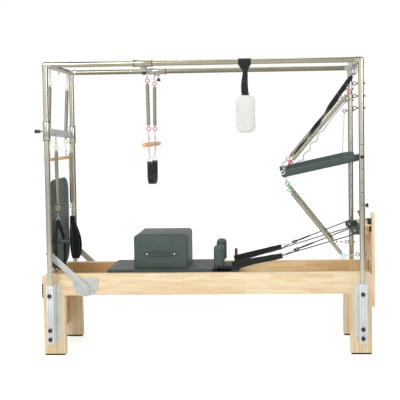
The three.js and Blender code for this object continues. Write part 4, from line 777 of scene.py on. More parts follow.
    def finish(self, name, body, slot, stands_for=None, crease=0.62, squash=None):
        """The finished object: metres, origin at zero, materials, body and the node it stands for. slot is not used.
        body is a name, the empty the piece is attached to; given as two names and two places it is not read, and the
        piece is only baked in place."""
        mesh = bpy.data.meshes.new(name)
        self.bm.to_mesh(mesh)
        self.bm.free()
        mesh.transform(Matrix.Scale(MM, 4))
        for look in self.finishes:
            mesh.materials.append(finish[look])
        for polygon in mesh.polygons:
            polygon.use_smooth = True
        mesh.set_sharp_from_angle(angle=crease)
        piece = stand(name, mesh)
        if stands_for:
            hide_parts(stands_for)
        if isinstance(body, str):
            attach(piece, body)
        else:
            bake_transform(piece)
        if squash:
            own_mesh(piece)
        return piece

    def finish_pad(self, name, body, stands_for, fill=0.9, slot="vinyl", crease=0.62):
        self.finish(name, body, slot, stands_for, crease)


# ---------------------------------------------------------------- ropes, the free cords

PULLEY_X, PULLEY_Z, ROPE_Y = 1083, 886, 190
CLEAT_X, CLEAT_Z, CLEAT_Y = 214, 604, 160
ROPE_END_X, ROPE_END_Z = 640, 745
CARRIAGE_TRAVEL = 780


def rope_route(side):
    """From the cleat on the carriage, round the pulley and back to the strap's snap."""
    turn = 21 + 4 * math.hypot(7, 4) / 7 + 0.6
    low = -math.pi / 2 + math.atan2(PULLEY_Z - turn - CLEAT_Z, PULLEY_X - CLEAT_X)
    high = math.pi / 2 + math.atan2(PULLEY_Z + turn - ROPE_END_Z, PULLEY_X - ROPE_END_X)
    bend = [at(x, side * ROPE_Y, z) for x, z in arc(PULLEY_X, PULLEY_Z, turn, low, high, 14)]
    start, stop = at(CLEAT_X, side * CLEAT_Y, CLEAT_Z), at(ROPE_END_X, side * ROPE_Y, ROPE_END_Z)
    return filled([start, bend[0]], 90) + bend[1:] + filled([bend[-1], stop], 70)[1:]


def make_rope(flank, side):
    route = rope_route(side)
    keep = 1 - CARRIAGE_TRAVEL / (PULLEY_X - CLEAT_X)
    shrink = {"anchor": metres((PULLEY_X, 0, PULLEY_Z)), "keep": keep}
    sleeve = Form()
    back = (route[-2] - route[-1]).normalized()
    eye = circle(route[-1] + back * 20, back * 22, back.cross(Y_AXIS) * 9, 1, 28)
    sleeve.sweep(eye, 3.2, "braid", 10, closed=True)
    tail = filled([route[-1] + back * 42, route[-1] + back * 158], 8)
    thick = [4.9 + 1.6 * min(1, i / 3, (len(tail) - 1 - i) / 4) for i in range(len(tail))]
    sleeve.sweep(tail, thick, "braid", 12)
    whipping = sleeve.finish(f"rope_sleeve_{flank}", BED, "rope_fibre", squash=shrink)
    form = Form()
    form.sweep(route, 4.0, "braid", 12)
    rope = form.finish(f"rope_{flank}_braided", BED, "rope_fibre", f"rope_{flank}", squash=shrink)


for flank, side in FLANKS:
    make_rope(flank, side)

# ---------------------------------------------------------------- hardware


def add_screw_eye(form, centre, normal, root, look="steel"):
    form.ring(centre, normal, 9, 2.3, look)
    form.rod(toward(centre, root, 8.5), root, 2.8, look, 12)


def add_hex_nut(form, centre, axis, radius, thick, look="steel"):
    outline = [(radius * 0.9, 0), (radius, 1), (radius, thick - 1), (radius * 0.9, thick)]
    form.capped(outline, centre, axis, look, 6)


def add_knob(form, origin, axis, radius, length, look="black"):
    """A hand knob with six lobes and a domed end."""
    u = axis.orthogonal().normalized()
    v, rows = axis.cross(u), []
    for share, height in ((0.3, 0.0), (0.62, 0.02), (0.72, 0.3), (0.95, 0.5),
                          (1.0, 0.72), (0.93, 0.9), (0.7, 0.98), (0.1, 1.0)):
        lobe = 0.045 if 0.7 < share else 0.0
        centre = origin + axis * height * length
        reach = [radius * share * (1 - lobe * (1 - math.cos(6 * a))) for a in steps_of_turn(48)]
        rows.append([centre + (p - centre) * r for p, r in zip(circle(centre, u, v, 1, 48), reach)])
    form.skin(rows, look)


def add_snap(form, a, b, look="steel"):
    """A swivel snap from an eye at a to a ring at b: its hook, barrel and small eye."""
    run, length = (b - a).normalized(), (b - a).length
    side = run.cross(Y_AXIS if abs(run.dot(Y_AXIS)) < 0.9 else X_AXIS).normalized()
    hook = min(30.0, length * 0.5)
    loop = circle(a + run * (hook / 2 - 2), run * hook / 2, side * 6.5, 1, 20)
    form.sweep(loop, 2.0, look, 8, closed=True)
    barrel, rest = a + run * hook, length - hook
    outline = [(1.6, -3), (4.2, -1), (4.8, 3), (4.2, min(10, rest * 0.5)), (2.2, min(12, rest * 0.6))]
    form.turned(outline, barrel, run, look, 14)
    form.rod(barrel, b + run * 2, 2.0, look, 10)


def add_hanger(form, top, high, low, bottom, coating):
    """A spring between two coated rings, with a snap at each end."""
    run, outer, wire, pitch = (low - high).normalized(), 13.5, 1.5, 3.1
    for centre, other in ((high, top), (low, bottom)):
        form.ring(centre, Y_AXIS, 14, 3.3, coating)
        add_snap(form, other, toward(centre, other, 14))
    start, stop = high + run * 22, low - run * 22
    length = (stop - start).length
    form.coil(start, run, length, length / pitch, outer - wire, wire, 18)
    core = [start.lerp(stop, (9 + i * (length - 18) / 40) / length) for i in range(41)]
    form.sweep(core, outer - 1.25 * wire, "spring", 24)
    for end, centre in ((start, high), (stop, low)):
        form.rod(end, toward(centre, end, 13), 1.7, "spring", 10)
        form.ring(toward(centre, end, 15), (end - centre).cross(Y_AXIS).normalized(), 4.5, 1.6, "spring", 18, 8)


def add_slots(cutter, spots, y0, y1, width, length):
    for x, z in spots:
        cutter.block((x - width / 2, y0, z - length / 2), (x + width / 2, y1, z + length / 2), "steel", 0)


# ---------------------------------------------------------------- bed

BEAM_FACE = 1134


def bed_outline():
    foot, leg, corner, arch = 12, 155, 26, 440
    left = [(-BED_END, foot), (-BED_END + leg, foot), (-BED_END + leg, arch)]
    right = [(-x, z) for x, z in reversed(left)]
    tops = arc(BED_END - corner, BED_TOP - corner, corner, 0, math.pi / 2, 8)
    return left + right + tops + arc(-BED_END + corner, BED_TOP - corner, corner, math.pi / 2, math.pi, 8)


def make_side_frame(flank, side):
    form = Form()
    y0, y1 = span(side, BED_INSIDE, BED_SIDE)
    form.plate(bed_outline(), y0, y1, "bed_wood", 2.2)
    for x in (-BED_END, BED_END - 155):
        form.block((x + 5, y0 + 4, 0), (x + 150, y1 - 4, 12.5), "rubber")
    plugs = [at(x, side * BED_SIDE, z) for x in (-1052, 1052) for z in (480, 552)]
    form.heads(plugs, Y_AXIS * side, 5.5, "upright_wood")
    form.finish(f"bed_side_{flank}", BED, "maple", f"side_frame_{flank}")


def make_end_boards():
    foot, edge = Form(), BED_INSIDE - 0.3
    foot.block((-1174, -edge, 120), (-1136, edge, BED_TOP), "cross_wood", 1.8)
    foot.finish("foot_end_board", BED, "maple", "foot_end_panel")
    head, near, far = Form(), BED_END + 0.3, BED_END + 24
    for side in BOTH:
        y0, y1 = span(side, 235, BED_SIDE)
        head.block((near, y0, 346), (far, y1, 1022), "upright_wood", 1.8)
        head.heads([at(far, side * 257, z) for z in (380, 470, 560)], X_AXIS, 5.0)
    head.block((near, -234.5, 440), (far, 234.5, 905), "cross_wood")
    head.block((BEAM_FACE, -236, 856), (far, 236, 918), "cross_wood", 2.0)
    head.finish("head_end_uprights", BED, "maple", "head_end_boards")


def make_cord_locks():
    """Cam locks for the ropes and a tether, on the inner faces of the head uprights."""
    form, inner = Form(), 258
    for side in BOTH:
        y = side * inner
        form.block((1166, y - 14, 938), (BED_END, y + 14, 982), "black", 3)
        form.drum(9, -13, 13, at(1164, y, 972), Y_AXIS, "black", 20)
        form.drum(3.5, -15, 15, at(1164, y, 972), Y_AXIS, "steel", 12)
        form.block((1178, y - 8, 884), (BED_END, y + 8, 926), "black", 3)
    add_screw_eye(form, at(1176, -inner, 716), Y_AXIS, at(1194, -inner, 716))
    form.links([at(1174, -inner, 707), at(1172, -inner, 678)])
    lie = [at(x, -inner, z) for x, z in ((1172, 680), (1166, 655), (1168, 628), (1176, 606))]
    form.strip(rounded(filled(lie, 12), 4, 2, closed=False), Y_AXIS, 16, 5)
    form.finish("cord_locks", BED, "black_webbing")


def make_leash():
    form = Form()
    x, y = -BED_END - 8, -262
    add_screw_eye(form, at(x, y, 572), Y_AXIS, at(-BED_END, y, 572))
    form.links([at(x, y, 563), at(x, y, 518)])
    form.strip(filled([at(x, y, 520), at(x - 1, y, 470), at(x + 1, y, 418)], 15), Y_AXIS, 16, 5.5)
    form.block((x - 4, y - 9, 508), (x + 4, y + 9, 524), "black", 2)
    form.finish("foot_end_tether", BED, "black_webbing", "side_leash")


# ---------------------------------------------------------------- tower

PIVOT_Z = 1426
SPRING_EYE, CHAIN_EYE, EYE_REACH, LOW_REACH = 1941, 1769, 46, 34
LOW_EYE = {-1: 737, 1: 722}


def make_post(place, end, flank, side):
    x, y = end * POST_X, side * POST_Y
    form, inner, low, high = Form(), TUBE - 2, 150, TOP_Z - 52.3
    form.tube([(inner, low), (TUBE, low), (TUBE, high), (inner, high)], at(x, y, 0), Z_AXIS, "tube", 48)
    if end > 0:
        drill = Form()
        holes = [(z, 4.5, 16) for z in (1090 + i * 84.2 for i in range(6)) if abs(z - PIVOT_Z) > 12]
        for z, radius, sides in (*holes, (PIVOT_Z, 6.2, 20)):
            drill.rod(at(x, y - 26, z), at(x, y + 26, z), radius, "steel", sides)
        form.carve(drill)
        # A black rod inside the drilled length is painted shade: it makes the holes read dark.
        form.rod(at(x, y, 1060), at(x, y, 1560), TUBE - 3.2, "black", 28)
        high_eyes = [(z, EYE_REACH) for z in (CHAIN_EYE, 1853, SPRING_EYE)]
        for z, reach in (*high_eyes, (LOW_EYE[side], LOW_REACH)):
            form.ring(at(x - reach, y, z), Y_AXIS, 12, 3.1, "dark_steel")
            form.rod(at(x - reach + 11.5, y, z), at(x + 30, y, z), 3.6, "steel", 14)
            for along in (-29, 22):
                if along > 16 - reach:
                    add_hex_nut(form, at(x + along - 1, y, z), X_AXIS, 7.5, 6, "dark_steel")
        if side < 0:
            form.rod(at(x + 17, y, 1090), at(x + 26, y, 1090), 5, "steel", 14)
            add_knob(form, at(x + 24, y, 1084), X_AXIS, 17, 21)
    form.finish(f"{place}_post_{flank}", BED, "tube_steel", f"post_{place}_{flank}")


def make_socket(place, end, flank, side):
    """A channel round the post's foot, a plate on the rail and three hand knobs."""
    x, face, plate, out = end * POST_X, POST_Y + TUBE + 4, BED_SIDE + 6, Y_AXIS * side
    form, drill = Form(), Form()
    y0, y1 = span(side, BED_SIDE, face)
    form.block((x - 23, y0, 106), (x + 23, y1, 528), "socket", 2.5)
    drill.rod(at(x, side * POST_Y, 149), at(x, side * POST_Y, 540), 19.4, "socket", 40)
    form.carve(drill)
    plate_0, plate_1 = span(side, BED_SIDE, plate)
    groove_0, groove_1 = span(side, face - 0.6, face + 0.25)
    for way in BOTH:
        x0, x1 = sorted((x + way * 22.6, x + way * 45.5))
        rib, groove = x + way * 23, x + way * 9
        form.block((x0, plate_0, 118), (x1, plate_1, 528), "socket", 1.2)
        form.rod(at(rib, side * (face - 3), 112), at(rib, side * (face - 3), 522), 1.6, "socket", 8)
        form.block((groove - 0.7, groove_0, 110), (groove + 0.7, groove_1, 524), "dark_steel", 0)
        form.heads([at(x + way * 34.5, side * plate, z) for z in (132, 510)], out, 4.2)
    for z in (143, 208, 457):
        form.turned([(8, 0), (8, 2.5), (3, 2.5)], at(x, side * (face - 0.5), z), out, "steel", 20)
        add_knob(form, at(x, side * (face + 1), z), out, 16, 10.5)
    form.finish(f"{place}_socket_{flank}", BED, "socket_aluminium", f"post_socket_{place}_{flank}")


def make_top_frame():
    form, z, r = Form(), TOP_Z, 20.5
    ball = [(HUB, -r), *((r * math.cos(a), r * math.sin(a)) for a in
                         (math.pi * (i / 12 - 0.5) for i in range(1, 12))), (HUB, r)]
    # The far rail takes the darker tube colour: painted shade.
    for side, look in ((-1, "rail_tube"), (1, "far_rail_painted_shade")):
        form.rod(at(-POST_X, side * POST_Y, z), at(POST_X, side * POST_Y, z), TUBE, look, 48)
    for end in BOTH:
        form.rod(at(end * POST_X, -POST_Y, z), at(end * POST_X, POST_Y, z), TUBE, "tube", 48)
        for side in BOTH:
            corner = at(end * POST_X, side * POST_Y, z)
            form.turned(ball, corner, Z_AXIS, "tube", 40)
            for way, long in ((-Z_AXIS, 52), (-X_AXIS * end, 44), (-Y_AXIS * side, 44)):
                form.turned([(18, 0), (r, 0), (r, long - 1.5), (19.2, long), (18, long)], corner, way, "tube", 40)
            form.heads([corner + at(-end * 28, 0, r), corner + at(0, -side * 28, r)], Z_AXIS)
    for y in (-235, 0, 235):
        add_screw_eye(form, at(-POST_X, y, 2076), X_AXIS, at(-POST_X, y, z - 17))
    form.finish("top_rectangle", BED, "tube_steel", "top_frame")


def make_anchor_plate():
    form, cutter = Form(), Form()
    middle, half, low, top = POST_X - 15, 37, TOP_Z - 48, 2132
    outline = arc(middle, low, half, math.pi, 2 * math.pi, 28) + [(middle + half, top), (middle - half, top)]
    form.plate(outline, -3, 3, "steel", 0.7)
    cutter.rod(at(POST_X, -8, TOP_Z), at(POST_X, 8, TOP_Z), 19.3, "steel", 40)
    add_slots(cutter, [(middle + k * 22, low - 5) for k in (-1, 0, 1)], -8, 8, 10, 22)
    form.carve(cutter)
    form.finish("strap_plate", BED, "plate_steel", "strap_anchor_plate")


FOOTBAR_PIVOT = (-862, 492)


def make_quadrant(flank, side):
    form, cutter = Form(), Form()
    x, z, r, top, face, out = -878, 525, 93, 569, BED_SIDE + 5, Y_AXIS * side
    y0, y1 = span(side, BED_SIDE, face)
    form.plate(arc(x, z, r, math.pi, 2 * math.pi, 40) + [(x + r, top), (x - r, top)], y0, y1, "arm")
    holes = arc(x, z, 78, -math.pi / 2 - 0.84, -math.pi / 2 + 0.84, 4)
    for hx, hz in holes:
        cutter.rod(at(hx, y0 - 5, hz), at(hx, y1 + 5, hz), 4.5, "steel", 16)
    add_slots(cutter, [(x - 66, z + 6), (x + 66, z + 6)], y0 - 5, y1 + 5, 8, 26)
    form.carve(cutter)
    form.heads([at(hx, side * (BED_SIDE - 1), hz) for hx, hz in holes], out, 4.4, "rubber")
    form.heads([at(x + k, side * face, top - 14) for k in (-62, 74)], out, 4.6)
    pin = at(FOOTBAR_PIVOT[0], side * (BED_SIDE + 0.3), FOOTBAR_PIVOT[1])
    form.drum(8, 0, 17.8, pin, out, "steel", 24)
    form.turned([(HUB, 17.6), (12, 17.6), (13, 19), (12.4, 21.6), (HUB, 22.5)], pin, out, "steel", 32)
    form.finish(f"footbar_plate_{flank}", BED, "plate_steel", f"footbar_quadrant_{flank}")


def make_pulleys():
    form, x, z, back = Form(), PULLEY_X, PULLEY_Z, BEAM_FACE - 0.3
    cheek = arc(x, z, 30, math.pi / 2, 1.5 * math.pi, 24) + [(back, z - 30), (back, z + 30)]
    for side in BOTH:
        y = side * ROPE_Y
        form.drum(6, -12, 12, at(x, y, z), Y_AXIS, "steel", 24)
        for way in BOTH:
            form.plate(cheek, *sorted((y + way * 8.2, y + way * 12.2)), "slate", 1.0)
            form.capped([(9, 12), (9, 14.5), (7, 16)], at(x, y, z), Y_AXIS * way, "steel", 24)
        form.rod(at(x - 20, y - 12, z + 21), at(x - 20, y + 12, z + 21), 2.5, "steel", 12)
    form.block((1130, -202.2, 856), (back, 202.2, z + 30), "slate", 0.8)
    form.finish("pulley_brackets", BED, "black_enamel", "pulley_housings")
    groove = [(6.6, 0), (24, 0), (25, 0.8), (24.6, 2), (21.4, 5.6), (21, 7),
              (21.4, 8.4), (24.6, 12), (25, 13.2), (24, 14), (6.6, 14)]
    for flank, side in FLANKS:
        wheel = Form()
        wheel.tube(groove, at(x, side * ROPE_Y - 7, z), Y_AXIS, "black", 48)
        wheel.finish(f"sheave_{flank}", f"{flank}_pulley", "pulley_plastic", f"pulley_wheel_{flank}")


# ---------------------------------------------------------------- carriage

DECK_TOP, REST_X, REST_Y, PEG_X = 571.7, 89.5, 163, 200
WHEELSETS = (("foot_end", -600), ("head_end", 160))
PEG = [(15, 0), (15, 5), (13, 8), (12, 10), (12, 122), (10.4, 129), (6, 132.6), (HUB, 133.3)]
UPRIGHTS = (
    (PEG_X, ROPE_Y, "slate", 32, PEG),
    (REST_X, REST_Y, "steel", 28, [(16, 0), (16, 3), (10, 4), (10, 49)]),
    (207.4, CLEAT_Y, "steel", 24, [(9, 0), (6, 3), (6, 38), (8, 41), (8, 44), (HUB, 44.4)]),
)


def make_carriage_deck():
    form, cutter = Form(), Form()
    form.block((-732, -200, 550), (228, 200, 572), "deck", 2.5)
    for side in BOTH:
        for _, x in WHEELSETS:
            form.block((x - 30, side * 172 - 4, 512.3), (x + 30, side * 172 + 4, 550.5), "steel")
            form.heads([at(x + k, side * 200, 561) for k in (-18, 18)], Y_AXIS * side, 3.5)
        for x, y, look, count, outline in UPRIGHTS:
            form.turned(outline, at(x, side * y, DECK_TOP), Z_AXIS, look, count)
        y = side * 100.3
        form.block((52, y - 4, 571), (68, y + 4, 618), "steel")
        cutter.rod(at(60, y - 6, 610), at(60, y + 6, 610), 4.8, "steel", 20)
    form.block((158, -60, 571), (174, 60, 589.7), "deck", 2)
    form.carve(cutter)
    form.finish("carriage_deck", "carriage", "maple", "carriage_base")


def make_wheelsets():
    for name, x in WHEELSETS:
        form = Form()
        near, far, r, z = 176.3, 194.3, 24, 524.3
        rim = [(r - 2, near), (r, near + 2), (r, far - 2), (r - 2, far), (r - 6, far), (r - 8, far - 3),
               (9, far - 3), (8, far)]
        for side in BOTH:
            form.capped(rim, at(x, 0, z), Y_AXIS * side, "black", 44)
        form.rod(at(x, -178, z), at(x, 178, z), 6, "steel", 24)
        form.finish(f"{name}_wheels", f"{name}_wheelset", "wheel_plastic", f"wheelset_{name.split('_')[0]}")


def make_carriage_pad():
    form, place = Form(), Matrix.Translation((-343.5, 0, 572.3))
    form.pad(place, 391.5, 218, 47.7, 22, 5, 6, 0.001)
    for z in (6.5, 38):
        form.piping(place, 390.8, 217.4, 22, z)
    form.stitches([place @ at(x, y, 34) for x, y in rounded_rectangle(391.6, 218.2, 22)], closed=True)
    form.finish_pad("carriage_cushion", "carriage", "carriage_pad")


def make_shoulder_rest(flank, side):
    form, place = Form(), Matrix.Translation((REST_X, side * REST_Y, 620))
    form.pad(place, 37.5, 51, 164, 26, 2, 25, 0.02)
    for z in (18, 128):
        form.piping(place, 37.4, 50.9, 26, z, 1.6)
    form.stitches(filled([place @ at(-36.1, 0, z) for z in (20, 48, 76, 104, 127)], 10), 5)
    form.finish_pad(f"shoulder_cushion_{flank}", "carriage", f"shoulder_rest_{flank}")


def make_headrest():
    form, place = Form(), Matrix.Translation((121, 0, 590))
    form.pad(place, 65, 96, 32, 22, 6, 8, 0.006)
    form.piping(place, 64.6, 95.7, 22, 18, 1.7)
    form.rod(at(60, -104, 610), at(60, 104, 610), 4, "steel", 20)
    form.finish_pad("head_cushion", "headrest_flap", "headrest")


def make_box():
    """Covered box: its long top edges are round, its other edges are crisp and piped."""
    form = Form()
    left, right, half_y, low, top, corner = -533.5, -144.5, 189, 620.6, 864, 24
    middle, level = (left + right) / 2, (low + top) / 2
    outline = [(left + 3, low), (right - 3, low), (right, low + 3)]
    outline += arc(right - corner, top - corner, corner, 0, math.pi / 2, 10)
    outline += [*arc(left + corner, top - corner, corner, math.pi / 2, math.pi, 10), (left, low + 3)]
    rows, edges = [], ((half_y, 3.0), (half_y - 1.0, 1.0), (half_y - 3.0, 0.0), (60, 0.0))
    for y, inset in (*((-y, inset) for y, inset in edges), *reversed(edges)):
        share_x, share_z = 1 - inset / (right - left) * 2, 1 - inset / (top - low) * 2
        rows.append([at(middle + (x - middle) * share_x, y, level + (z - level) * share_z) for x, z in outline])
    form.skin(rows, "vinyl")
    fall = ((-120, 1.5, 0), (-108, 2, 0), (-92, 3, -0.5), (-60, 7, -2), (0, 10, -3))
    fall += tuple((-x, lift, drop) for x, lift, drop in fall[-2::-1])
    for side in BOTH:
        out = Y_AXIS * side
        form.sweep([at(x, side * (half_y - 1.0), z) for x, z in outline], 1.9, "piping", 8, closed=True)
        seam = [at(left + (x - left) * 0.975 + 4.8, side * (half_y + 0.1), low + (z - low) * 0.965 + 4.2)
                for x, z in outline]
        form.stitches(seam, 5, closed=True)
        handle = at(middle, side * (half_y - 0.5), 724.3)
        strap = [handle + at(x, side * lift, drop) for x, lift, drop in fall]
        form.strip(rounded(strap, 14, 3, closed=False), Z_AXIS, 27, 4.5, "strap_vinyl")
        for x in (-102, 102):
            spot = handle + at(x, side * 3.4, 0)
            form.capped([(10, -4), (10, 1.2), (8.5, 2.4)], spot, out, "black", 28)
            form.heads([spot + out * 2.2], out, 5.5, "white")
    form.finish_pad("sitting_box_covered", "box", "sitting_box", fill=1.0)


def make_carriage_springs():
    form, z = Form(), 504
    for y, look in zip(range(-112, 113, 56), ("yellow", "red", "black", "red", "green")):
        form.coil((-690, y, z), X_AXIS, 390.0, 118.0, 9.6, 1.4, 12)
        form.ring(at(-702, y, z), Y_AXIS, 9, 2.2, "spring", 22, 8)
        for x0, x1 in ((-694, -688), (-302, -276)):
            form.rod(at(x0, y, z), at(x1, y, z), 2.2, "spring", 10)
        for x in (-684, -306):
            form.drum(11, -5, 5, at(x, y, z), X_AXIS, look, 24)
    form.block((-277, -124, 492), (-271, 124, 549.7), "steel", 1.0)
    form.finish("carriage_spring_set", "carriage", "spring_steel", "carriage_springs")


def make_strap_loop(flank, side):
    """Webbing loop round its peg, with sewn ends, the ring and the snap that takes the rope."""
    form, y = Form(), side * ROPE_Y
    peg_z, end_z = (642, 705) if side < 0 else (624, 712)
    peg, end, hook = at(PEG_X, y, peg_z), at(556, y, end_z), at(ROPE_END_X, y, ROPE_END_Z)
    run, length = (end - peg).normalized(), (end - peg).length
    across = -run.cross(Y_AXIS)

    def loop(line, radius):
        return rounded([peg + run * s + Y_AXIS * t for s, t in line], radius, 3)

    line = [(80, 14.5), (40, 14.5), *arc(0, 0, 14.5, math.pi / 2, 1.5 * math.pi, 14), (40, -14.5), (80, -14.5),
            (200, -10.9), (length - 26, -3.8), (length - 2, -3), (length - 2, 3), (length - 26, 3.8), (200, 10.9)]
    path = loop(line, 6)
    form.band(path, across, 46, 4, widths=[48 - 9 * (p - peg).dot(run) / length for p in path])
    for k in (-15, 15):
        for way in BOTH:
            row = [peg + run * s + across * k + Y_AXIS * way * (4.8 + (length - s) * 0.05)
                   for s in (length - 96, length - 20)]
            form.stitches(filled(row, 20))
    cuff = [(length - 110, -9.6), (length - 60, -7), (length - 60, 7), (length - 110, 9.6)]
    form.band(loop(cuff, 3), across, 43, 2.4)
    centre = end + X_AXIS * 10.4
    form.ring(centre, Y_AXIS, 17, 3.8, "bright", 32)
    add_snap(form, toward(centre, hook, 12), hook, "black")
    form.finish(f"strap_loop_{flank}_webbing", "carriage", "black_webbing", f"strap_loop_{flank}",
                squash={"anchor": metres((PEG_X, y, 634)), "keep": 0.131})


# ---------------------------------------------------------------- footbar and jump board


def make_footbar():
    """Two flat arms and one bent tube between them that passes behind the jump board."""
    form, cutter = Form(), Form()
    (px, pz), (ex, ez), back = FOOTBAR_PIVOT, (-1130, 740), -1166
    rise = math.atan2(ez - pz, ex - px)
    outline = arc(ex, ez, 22.5, rise - math.pi / 2, rise + math.pi / 2, 20)
    outline += arc(px, pz, 22.5, rise + math.pi / 2, rise + 1.5 * math.pi, 20)
    for y in (-294, 294):
        form.plate(outline, y - 3.5, y + 3.5, "arm", 1.0)
        cutter.rod(at(px, y - 8, pz), at(px, y + 8, pz), 8.6, "steel", 28)
    form.carve(cutter)
    for side in BOTH:
        form.capped([(9, 0), (9, 2), (7, 3.4)], at(ex, side * 297.2, ez), Y_AXIS * side, "steel", 28)
    way = [at(ex, -294, ez), at(ex, -256, ez), at(back, -256, ez)]
    way += [at(p.x, -p.y, p.z) for p in reversed(way)]
    form.sweep(rounded(way, 13, 6, closed=False), 10, "arm", 28)
    form.finish("footbar_arms", "footbar_assembly", "arm_enamel", "footbar")
    grip = Form()
    grip.tube(mirrored([(10.3, 200), (12.5, 200), (14, 198)]), at(back, 0, ez), Y_AXIS, "foam", 36)
    grip.finish_pad("footbar_grip", "footbar_assembly", "footbar_pad", fill=1.0)


def make_jump_board():
    form, half_z = Form(), 333
    turn = Matrix(((0, 0, 1), (0, 1, 0), (-1, 0, 0))).to_4x4()
    place = Matrix.Translation((-1146, 0, 945)) @ turn
    form.pad(place, half_z, 240, 24, 105, 5, 7, 0.001)
    form.piping(place, half_z - 0.6, 239.4, 105, 13)
    form.stitches([place @ at(x, y, 10) for x, y in rounded_rectangle(half_z + 0.1, 240.1, 105)], 5, closed=True)
    brackets = ((-1178.3, 595.3, -1131.7, 599.3), (-1178.3, 535, -1174.3, 599.3),
                (-1135.7, 535, -1131.7, 599.3), (-1150, 595.3, -1145.7, 702))
    for y in (-130, 130):
        for x0, z0, x1, z1 in brackets:
            form.block((x0, y - 25, z0), (x1, y + 25, z1), "steel", 0.6)
        form.heads([at(-1150, y + k, z) for k in (-14, 14) for z in (640, 684)], -X_AXIS, 4.5)
    form.finish_pad("jump_board_covered", "jump_board_assembly", "jump_board")


# ---------------------------------------------------------------- crossbar and what hangs at the foot end

SLEEVE = mirrored([(19.4, 69), (24, 69), (24.5, 68)])
HAND_X, HAND_Y, FOOT_X, FOOT_Y = -1102, -170, -1094, 197
ROLL_X, ROLL_Z = -1137, 1430
HAND_WAY = ((-1103, -172, 955), (-1106, -194, 905), (-1107, -216, 840), (-1107, -224, 760), (-1106, -214, 690),
            (-1103, -203, 640), (-1092, -181, 620), (-1076, -155, 624), (-1066, -139, 655), (-1061, -132, 720),
            (-1062, -131, 790), (-1074, -142, 870), (-1096, -166, 955))
FOOT_WAY = ((-1089, 6, 925, 40), (-1079, 26, 854, 60), (-1070, 34, 794, 74), (-1066, 35, 728, 78),
            (-1067, 21, 672, 72), (-1070, 14, 643, 58), (-1071, 0, 632, 50))


def make_spring(name, body, stands_for, places, coating="yellow"):
    form = Form()
    add_hanger(form, *places, coating)
    form.finish(name, body, "spring_steel", stands_for)


def make_crossbar():
    """Two sleeves on the posts and a flat bar that leans down to the rear, with its eyes."""
    form, middle = Form(), 1637

    def lean(x, y, z):
        return at(x, y, z - 29 * (y + POST_Y) / (2 * POST_Y))

    for side in BOTH:
        spot = lean(-POST_X, side * POST_Y, middle)
        form.tube(SLEEVE, spot, Z_AXIS, "tube", 48)
        # Thin dark-steel rings at each sleeve end: partly real seams, partly painted shade.
        for z in (-67, 64):
            form.tube([(24.3, z), (25.4, z + 0.6), (25.4, z + 4.6), (24.3, z + 5.2)], spot, Z_AXIS, "dark_steel", 48)
    form.strip([lean(-POST_X, y, 1634) for y in (-332, -160, 0, 160, 332)], Z_AXIS, 54, 8, "plate")
    for x, y in ((HAND_X, HAND_Y), (FOOT_X, FOOT_Y)):
        form.ring(lean(x, y, 1594), X_AXIS, 9, 2.3, "steel")
        form.rod(lean(x, y, 1602.6), lean(x, y, 1622), 2.8, "steel", 12)
        form.rod(lean(x, y, 1619), lean(-1113, y, 1619), 2.8, "steel", 12)
        add_hex_nut(form, lean(-1112, y, 1619), X_AXIS, 7, 5)
    form.turned([(9, 0), (9, 16), (7, 19.5), (5, 19.5)], at(-1135, -POST_Y, middle), -X_AXIS, "steel", 24)
    collar = [(12, 0), (13.5, 2), (13.5, 8), (9, 13), (7, 16), (7, 24)]
    form.capped(collar, at(-1178, -POST_Y, middle), X_AXIS, "dark_steel", 28)
    add_knob(form, at(-1176, -POST_Y, middle), -X_AXIS, 14.5, 25)
    form.finish("height_crossbar", "crossbar_assembly", "tube_steel", "crossbar")


def make_roll_down():
    body, bar, high_z = "roll_down_assembly", Form(), 1985
    bar.turned(mirrored([(HUB, 326), (9, 326), (12, 324), (13, 320)]), at(ROLL_X, 0, ROLL_Z), Y_AXIS, "bar_wood", 40)
    for flank, side in FLANKS:
        top, low = at(-POST_X, side * 235, 2064), at(-1139, side * 225, 1557)
        high = top.lerp(low, (top.z - high_z) / (top.z - low.z))
        eye = at(ROLL_X, side * 222, ROLL_Z)
        make_spring(f"roll_down_{flank}_coil", body, f"roll_down_spring_{flank}", (top, high, low, eye + Z_AXIS * 20))
        bar.rod(eye - Z_AXIS * 5, eye + Z_AXIS * 16, 2.6, "steel", 12)
        bar.ring(eye + Z_AXIS * 19, X_AXIS, 5.5, 1.8, "steel", 20, 8)
    bar.finish("roll_down_dowel", body, "grip_wood", "roll_down_bar")


